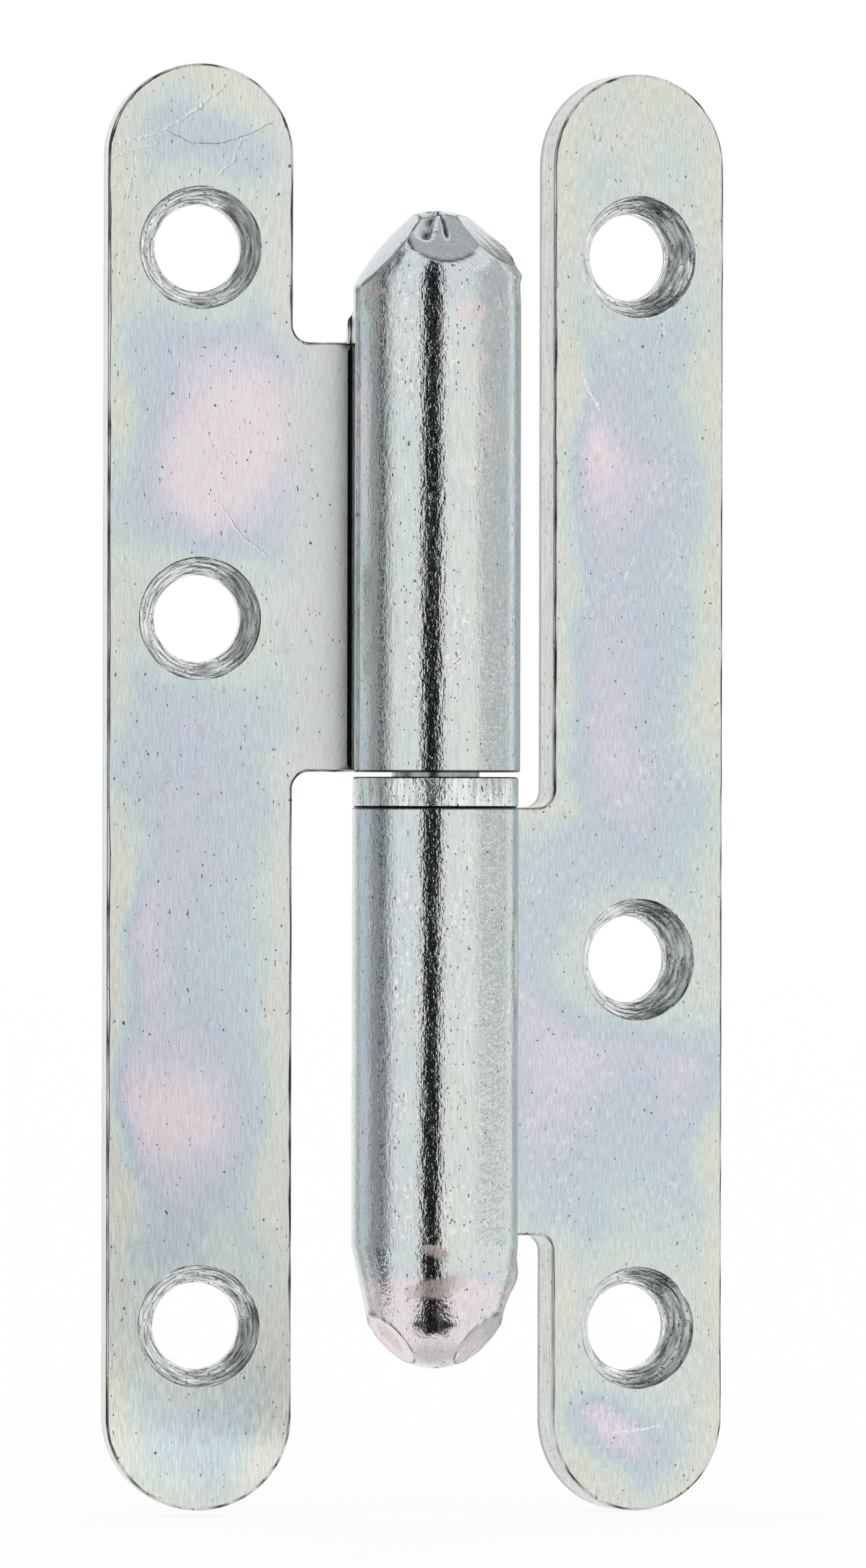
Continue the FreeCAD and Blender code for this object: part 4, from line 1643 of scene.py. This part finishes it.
@dataclass
class Turned(Piece):
    """A turned piece on the hinge axis, with painted shade on what lies beyond its rim height."""

    sizes: dict[str, float]
    rim: float = math.inf
    film: float = 0.3
    rim_shade: float = 0.85
    sharp_angle: float = 30.0
    merge_distance: float = 1e-4

    def build(self, tree: Tree, material: Material) -> Object:
        """Makes the piece's object and puts it on its body.

        Args:
            tree: The Geometry Nodes tree of its shape.
            material: Its finish.

        Returns:
            The piece's object.
        """
        values = {**self.sizes, "Material": material}
        mesh = piece_from_tree(self.name, tree, values, [(0.0, 0.0, 0.0)])
        mesh.materials.clear()
        mesh.materials.append(material)
        work = bmesh.new()
        work.from_mesh(mesh)
        bmesh.ops.remove_doubles(work, verts=work.verts, dist=self.merge_distance)
        bmesh.ops.recalc_face_normals(work, faces=work.faces)
        for face in work.faces:
            face.smooth = True
            face.material_index = 0
        for edge in work.edges:
            edge.smooth = edge.calc_face_angle(0.0) < math.radians(self.sharp_angle)
        work.to_mesh(mesh)
        work.free()
        own = self.own_points(mesh)
        self.write(mesh, "film", np.full(len(own), self.film))
        # Painted shade on the faces beyond the rim height, where the piece sits against its
        # neighbours.
        self.write(mesh, "painted_shade", np.where(np.abs(own[:, 2]) > self.rim, self.rim_shade, 0.0))
        mesh.vertices.foreach_set("co", ((own + HINGE_AXIS) * MM).ravel())
        mesh.update()
        return self.add(mesh)


@dataclass(frozen=True)
class Card:
    """A studio card that shows only in reflections, by its angles from the camera in degrees."""

    name: str
    left: float
    right: float
    grey: float
    low: float = -0.05
    high: float = 2.4
    distance: float = 1.6
    fade: float = 14.0
    apron: float | None = None


@dataclass(frozen=True)
class Disc:
    """A level round card for reflections, by its angle and distance from the hinge axis."""

    name: str
    angle: float
    distance: float
    height: float
    radius: float
    grey: float
    core: float = 0.6


@dataclass
class Studio:
    """The floor, the cards, the surround and the camera."""

    azimuth: float = -23.4
    distance: float = 1.2
    view_height: float = 119.04
    centre_across: float = -0.19
    centre_up: float = 0.61
    roll: float = 0.12
    floor_height: float = -55.05
    floor_size: float = 3.0
    floor_glow: float = 0.85
    sensor: float = 36.0
    steps: int = 48
    cards: tuple[Card, ...] = (
        Card("camera_card", -18.0, 7.5, 0.01, fade=1.5, apron=0.009),
        Card("left_card", -126.0, -58.0, 0.38, apron=0.06),
        Card("left_strip", -87.0, -72.0, 0.03, low=-0.045, distance=1.5, fade=4.0),
        Card("right_card", 54.0, 126.0, 0.66, high=1.2),
    )
    discs: tuple[Disc, ...] = (
        Disc("ceiling_card", 0.0, 0.0, 1.5, 0.75, 0.58),
        Disc("ceiling_left_card", -71.0, 0.45, 1.45, 0.24, 0.05, 0.85),
        Disc("under_card", 0.0, 0.0, -0.0505, 0.0085, 0.72, 0.4),
        Disc("front_card", 0.0, 0.021, -0.0508, 0.0140, 0.04, 0.8),
        Disc("floor_left_card", -80.0, 0.056, -0.0515, 0.016, 0.10, 0.6),
    )

    def direction(self, angle: float) -> Vector:
        """Returns the level direction from the hinge at an angle to the right of the camera."""
        turn = math.radians(self.azimuth + angle)
        return Vector((math.sin(turn), -math.cos(turn), 0.0))

    def build(self) -> None:
        """Builds the whole studio."""
        self.build_surround()
        self.build_floor()
        for card in self.cards:
            self.build_card(card)
        for disc in self.discs:
            self.build_disc(disc)
        self.build_camera()
        bpy.context.scene.view_settings.view_transform = "Standard"

    @staticmethod
    def shown_white(graph: Graph) -> Socket:
        """Tells rays that see the white background from those that light it.

        Args:
            graph: The material's graph.

        Returns:
            1 for rays from the camera, a reflection or glass, and otherwise 0.
        """
        path = graph.node("ShaderNodeLightPath").outputs
        seen = graph.math("MAXIMUM", path["Is Camera Ray"], path["Is Glossy Ray"])
        return graph.math("MAXIMUM", seen, path["Is Transmission Ray"])

    @staticmethod
    def build_surround() -> None:
        """Makes the white surround."""
        world = bpy.data.worlds.new("studio")
        bpy.context.scene.world = world
        world.use_nodes = True
        shader = world.node_tree.nodes["Background"].inputs
        shader["Color"].default_value = (1.0, 1.0, 1.0, 1.0)
        shader["Strength"].default_value = 1.0

    def build_floor(self) -> None:
        """Lays the pale floor under the leaves."""
        half, height = self.floor_size, self.floor_height * MM
        corners = ((-half, -half), (half, -half), (half, half), (-half, half))
        mesh = bpy.data.meshes.new("floor")
        mesh.from_pydata([(x, y, height) for x, y in corners], [], [(0, 1, 2, 3)])
        floor = add_object("floor", mesh)
        material, graph = new_material("pale_floor")
        nodes = material.node_tree.nodes
        shader = nodes["Principled BSDF"]
        shader.inputs["Base Color"].default_value = (0.97, 0.97, 0.97, 1.0)
        shader.inputs["Roughness"].default_value = 0.9
        glow = graph.node("ShaderNodeEmission", {"Strength": 1.0}).outputs[0]
        share = graph.times(self.shown_white(graph), self.floor_glow)
        mixed = graph.node("ShaderNodeMixShader", {0: share, 1: shader.outputs[0], 2: glow})
        graph.feed(nodes["Material Output"].inputs["Surface"], mixed.outputs[0])
        mesh.materials.append(material)

    @staticmethod
    def add_card(name: str, points: list, faces: list, glow: list[float]) -> None:
        """Adds a card that shows only in reflections.

        Args:
            name: The card's name.
            points: Its corners.
            faces: Its faces.
            glow: How bright it looks at each corner.
        """
        mesh = bpy.data.meshes.new(name)
        mesh.from_pydata(points, [], faces)
        made = add_object(name, mesh)
        made.visible_camera = False
        made.visible_diffuse = False
        made.visible_shadow = False
        material, graph = new_material(name)
        Piece.write(mesh, "glow", np.array(glow))
        light = graph.node("ShaderNodeEmission", {"Strength": graph.attribute("glow")})
        surface = material.node_tree.nodes["Material Output"].inputs["Surface"]
        graph.feed(surface, light.outputs[0])
        mesh.materials.append(material)

    def build_card(self, card: Card) -> None:
        """Stands one card round the hinge, out of the camera's sight.

        Args:
            card: The card's angles, height and grey.
        """
        axis, far = Vector(HINGE_AXIS * MM), card.distance
        rings = [(far, card.low, 1.0), (far, card.high * 0.8, 1.0), (far, card.high, 0.0)]
        if card.apron is not None:
            rings.insert(0, (card.apron, card.low, 1.0))
        points, glow = [], []
        for step in range(self.steps + 1):
            angle = card.left + (card.right - card.left) * step / self.steps
            inside = min(angle - card.left, card.right - angle) / card.fade
            shade = float(smooth_step(0.0, 1.0, inside)) * (1 - card.grey)
            for distance, height, share in rings:
                foot = axis + self.direction(angle) * distance
                points.append((foot.x, foot.y, height))
                glow.append(1 - shade * share)
        count = len(rings)
        corners = [step * count + ring for step in range(self.steps) for ring in range(count - 1)]
        faces = [(corner, corner + 1, corner + count + 1, corner + count) for corner in corners]
        self.add_card(card.name, points, faces, glow)

    def build_disc(self, disc: Disc) -> None:
        """Hangs one level card, which fades towards its rim.

        Args:
            disc: The card's place, radius and grey.
        """
        steps = self.steps
        middle = Vector(HINGE_AXIS * MM) + self.direction(disc.angle) * disc.distance
        points, glow = [(middle.x, middle.y, disc.height)], [disc.grey]
        for share, shade in ((disc.core, disc.grey), (1.0, 1.0)):
            for step in range(steps):
                rim = middle + self.direction(360.0 * step / steps) * (disc.radius * share)
                points.append((rim.x, rim.y, disc.height))
                glow.append(shade)
        faces = []
        for step in range(steps):
            here, there = 1 + step, 1 + (step + 1) % steps
            faces += [(0, here, there), (here, here + steps, there + steps, there)]
        self.add_card(disc.name, points, faces, glow)

    def build_camera(self) -> None:
        """Sets the camera at the photograph's viewing angle."""
        data = bpy.data.cameras.new("camera")
        data.sensor_width = self.sensor
        data.lens = self.sensor / 2 * self.distance / (self.view_height * MM / 2)
        data.clip_start = 0.05
        data.clip_end = 20.0
        camera = bpy.data.objects.new("camera", data)
        bpy.context.scene.collection.objects.link(camera)
        back = self.direction(0.0)
        right = Vector((-back.y, back.x, 0.0))
        target = Vector(HINGE_AXIS * MM) + right * (self.centre_across * MM)
        target.z += self.centre_up * MM
        camera.location = target + back * self.distance
        roll = Matrix.Rotation(math.radians(self.roll), 3, "Z")
        turn = (-back).to_track_quat("-Z", "Y").to_matrix() @ roll
        camera.rotation_euler = turn.to_euler()
        bpy.context.scene.camera = camera


class Hinge:
    """The whole hinge: its finishes, its two leaves, its ring and its pin."""

    EDGE = PlatedFinish(
        "zinc_edge", roughness=0.20, spread=0.06, grain_size=0.30, bump_depth=0.020, pit_share=0.31,
        cloud=0.25, bare_share=0.6, bare_colour=(0.58, 0.61, 0.62), grain_contrast=0.22,
    )
    SINK = PlatedFinish(
        "countersink", roughness=0.15, spread=0.06, grain_size=0.26, bump_depth=0.10,
        pit_share=0.37, cloud=0.2, peel=0.30, bare_share=0.85, bare_colour=(0.72, 0.75, 0.75),
        fleck_share=0.0, grain_contrast=0.85, turned=True,
    )
    KNUCKLE = PlatedFinish(
        "zinc_knuckle", roughness=0.13, spread=0.04, grain_size=0.16, bump_depth=0.030,
        pit_share=0.30, cloud=0.35, peel=1.0, fleck_share=0.9, bare_share=0.35,
        bare_colour=(0.66, 0.67, 0.66),
    )
    RING = PlatedFinish(
        "zinc_ring", roughness=0.20, spread=0.08, grain_size=0.34, bump_depth=0.08, pit_share=0.345,
        cloud=0.2, peel=0.7, bare_share=0.5, tint=(1.18, 1.17, 1.15), grain_contrast=0.35,
    )
    PIN = PlatedFinish(
        "pin_steel", roughness=0.26, spread=0.06, grain_size=0.2, bump_depth=0.010, pit_share=0.33,
        cloud=0.1, tint=(0.95, 0.94, 0.93),
    )

    def __init__(self) -> None:
        """Makes the shared shader groups, the shape trees and the finishes of both leaves."""
        self.effects = SharedEffects()
        self.trees = ShapeTrees()
        self.shared = {
            Region.EDGE: self.EDGE.material(self.effects),
            Region.SINK: self.SINK.material(self.effects),
            Region.KNUCKLE: self.KNUCKLE.material(self.effects),
        }

    def build_leaf(self, leaf: Leaf, face: str, bright: float, *scratches: Scratch) -> Object:
        """Builds one leaf in its finishes.

        Args:
            leaf: The leaf.
            face: Name of the finish of its flat faces.
            bright: Gain on that finish's colour; above 1 it paints the face lighter, a lit copy of
                the same plating.
            scratches: Scratches on its blank.

        Returns:
            The leaf's object.
        """
        finish = PlatedFinish(
            face, roughness=0.34, spread=0.06, grain_size=0.12, bump_depth=0.012, pit_share=0.285,
            cloud=0.30, fleck_share=0.45, scratches=scratches, tint=(bright, bright, bright),
            grain_contrast=0.20,
        )
        materials = {Region.FACE: finish.material(self.effects), **self.shared}
        return leaf.build(self.trees, materials)

    def build_door_leaf(self) -> Object:
        """Builds the leaf that lifts off.

        Returns:
            The leaf's object.
        """
        dome = Dome(
            shoulder_inset=0.1,
            shoulder_drop=4.9,
            taper_drop=7.3,
            flats=(
                Flat(180.0, 1.5, 1.2, 0.065, 0.45),
                *(Flat(turn, 1.65, 1.1) for turn in (-90.0, -30.0, 30.0, 90.0)),
            ),
            grooves=(
                Groove((0.05, 0.4), (0.3, 4.2), 0.24, 0.60),
                Groove((-0.25, 0.9), (-1.7, 4.6), 0.95, 0.45),
            ),
            bulges=(Bulge(-10.0, 38.9, 16.0, 0.45, 0.18),),
            stains=(
                Stain(-74.0, 7.6, 15.0, 1.2, 0.66),
                Stain(-69.0, 11.6, 13.0, 1.6, 0.58),
                Stain(-146.0, 6.2, 13.0, 0.5, 0.70),
                Stain(-62.0, 16.5, 8.0, 2.4, 0.55),
            ),
        )
        leaf = Leaf(
            "door_leaf_plated",
            "door_leaf",
            Body.DOOR,
            Slot.LEAF,
            Placement(turn=-15.4, lift=0.35),
            reach=24.7,
            bore=3.45,
            dome=dome,
            patches=(
                FilmPatch(17.0, 49.5, 5.0, 3.0, 0.26),
                FilmPatch(17.5, 35.0, 6.0, 2.5, 0.16),
                FilmPatch(15.4, 26.4, 5.0, 7.6, 0.80),
                FilmPatch(17.5, 1.5, 6.5, 6.5, 0.26),
                FilmPatch(21.9, -10.2, 3.6, 6.5, 0.48),
                FilmPatch(20.0, -25.6, 5.4, 8.0, 0.66),
                FilmPatch(17.5, -50.3, 4.0, 2.5, 0.08),
            ),
            dull_web=0.8,
            dome_film=0.42,
        )
        long_mark = ((24.8, 48.7), (22.4, 49.2), (20.4, 49.9), (18.0, 51.5), (15.8, 53.3))
        dark_mark = ((20.3, 49.9), (18.3, 48.9), (16.6, 48.8), (13.7, 49.7), (12.2, 50.5))
        return self.build_leaf(
            leaf,
            "zinc_door_face_lit",
            # Painted light: the door's face is the frame's plating painted 1.25 times brighter for
            # the light it catches.
            1.25,
            Scratch(long_mark, 0.15),
            Scratch(((24.3, 47.8), (21.0, 48.9)), 0.13),
            Scratch(((14.5, 49.3), (15.1, 47.6), (16.4, 46.4)), 0.11),
            Scratch(((22.5, 48.1), (23.2, 44.9)), 0.10),
            Scratch(dark_mark, 0.05, bright=False),
            Scratch(((16.0, 21.4), (14.4, 19.0), (12.6, 17.6)), 0.10),
        )

    def build_frame_leaf(self) -> Object:
        """Builds the leaf that stays on the frame.

        Returns:
            The leaf's object.
        """
        dome = Dome(
            shoulder_inset=1.25,
            shoulder_drop=3.4,
            taper_drop=9.4,
            flats=tuple(Flat(turn, 1.75, 0.85) for turn in (-131.6, -1.6, 75.4, 151.4)),
            grooves=(Groove((0.0, 0.4), (0.0, 2.6), 0.35, 0.8),),
            bulges=(Bulge(-178.0, 36.9, 26.0, 1.5, 0.75),),
            stains=(
                Stain(-66.0, 6.2, 15.0, 0.85),
                Stain(-83.0, 6.7, 12.0, 0.75),
                Stain(-49.0, 5.9, 9.0, 0.60),
                Stain(-64.0, 9.1, 9.0, 0.50),
                Stain(-72.0, 8.7, 6.0, 0.45),
                Stain(-3.0, 2.4, 20.0, 1.3),
                Stain(-128.0, 2.2, 16.0, 1.1),
            ),
        )
        leaf = Leaf(
            "frame_leaf_plated",
            "frame_leaf",
            Body.FRAME,
            Slot.LEAF,
            Placement(end_for_end=True),
            reach=25.5,
            bore=3.35,
            dome=dome,
            patches=(
                FilmPatch(18.6, 51.0, 6.0, 3.2, -0.22),
                FilmPatch(15.8, 48.6, 2.2, 1.8, 0.16),
                FilmPatch(19.0, 35.7, 5.0, 2.6, 0.22),
                FilmPatch(16.6, 24.5, 3.8, 8.0, 0.46),
                FilmPatch(15.2, 27.2, 2.2, 4.0, 0.26),
                FilmPatch(16.5, 4.2, 4.0, 9.5, 0.48),
                FilmPatch(20.4, -21.7, 4.4, 5.5, 0.40),
                FilmPatch(11.1, -19.3, 4.5, 10.0, 0.44),
                FilmPatch(15.8, -49.4, 3.4, 3.2, 0.55),
            ),
            dull_web=0.15,
            dome_film=0.95,
        )
        return self.build_leaf(
            leaf,
            "zinc_frame_face",
            1.0,
            Scratch(((13.6, 32.0), (14.2, 30.6), (15.0, 29.4)), 0.14),
            Scratch(((18.0, 18.0), (17.2, 16.2)), 0.08),
            Scratch(((16.4, -49.0), (20.2, -48.6)), 0.10),
        )

    def build_ring(self) -> Object:
        """Builds the loose spacer ring.

        Returns:
            The ring's object.
        """
        sizes = {"Inner Radius": 3.45, "Outer Radius": 6.3, "Thickness": 2.3, "Edge Round": 0.20}
        ring = Turned("spacer_ring_plated", "spacer_ring", Body.SPACER, Slot.RING, sizes, rim=1.06)
        return ring.build(self.trees.ring, self.RING.material(self.effects))

    def build_pin(self) -> Object:
        """Builds the hinge pin.

        Returns:
            The pin's object.
        """
        sizes = {
            "Radius": 3.35,
            "Foot": -38.45,
            "Tip": 31.0,
            "Tip Bevel": 1.2,
            "Foot Bevel": 0.6,
        }
        pin = Turned("hinge_pin_plated", "hinge_pin", Body.FRAME, Slot.PIN, sizes)
        return pin.build(self.trees.pin, self.PIN.material(self.effects))

    def build(self) -> list[Object]:
        """Builds every piece in order and returns the pieces."""
        steps = (self.build_frame_leaf, self.build_pin, self.build_ring, self.build_door_leaf)
        return [step() for step in steps]


def main() -> None:
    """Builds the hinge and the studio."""
    logging.basicConfig(level=logging.INFO, format="%(name)s: %(message)s")
    for made in Hinge().build():
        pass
    Studio().build()


if __name__ == "__main__":
    main()
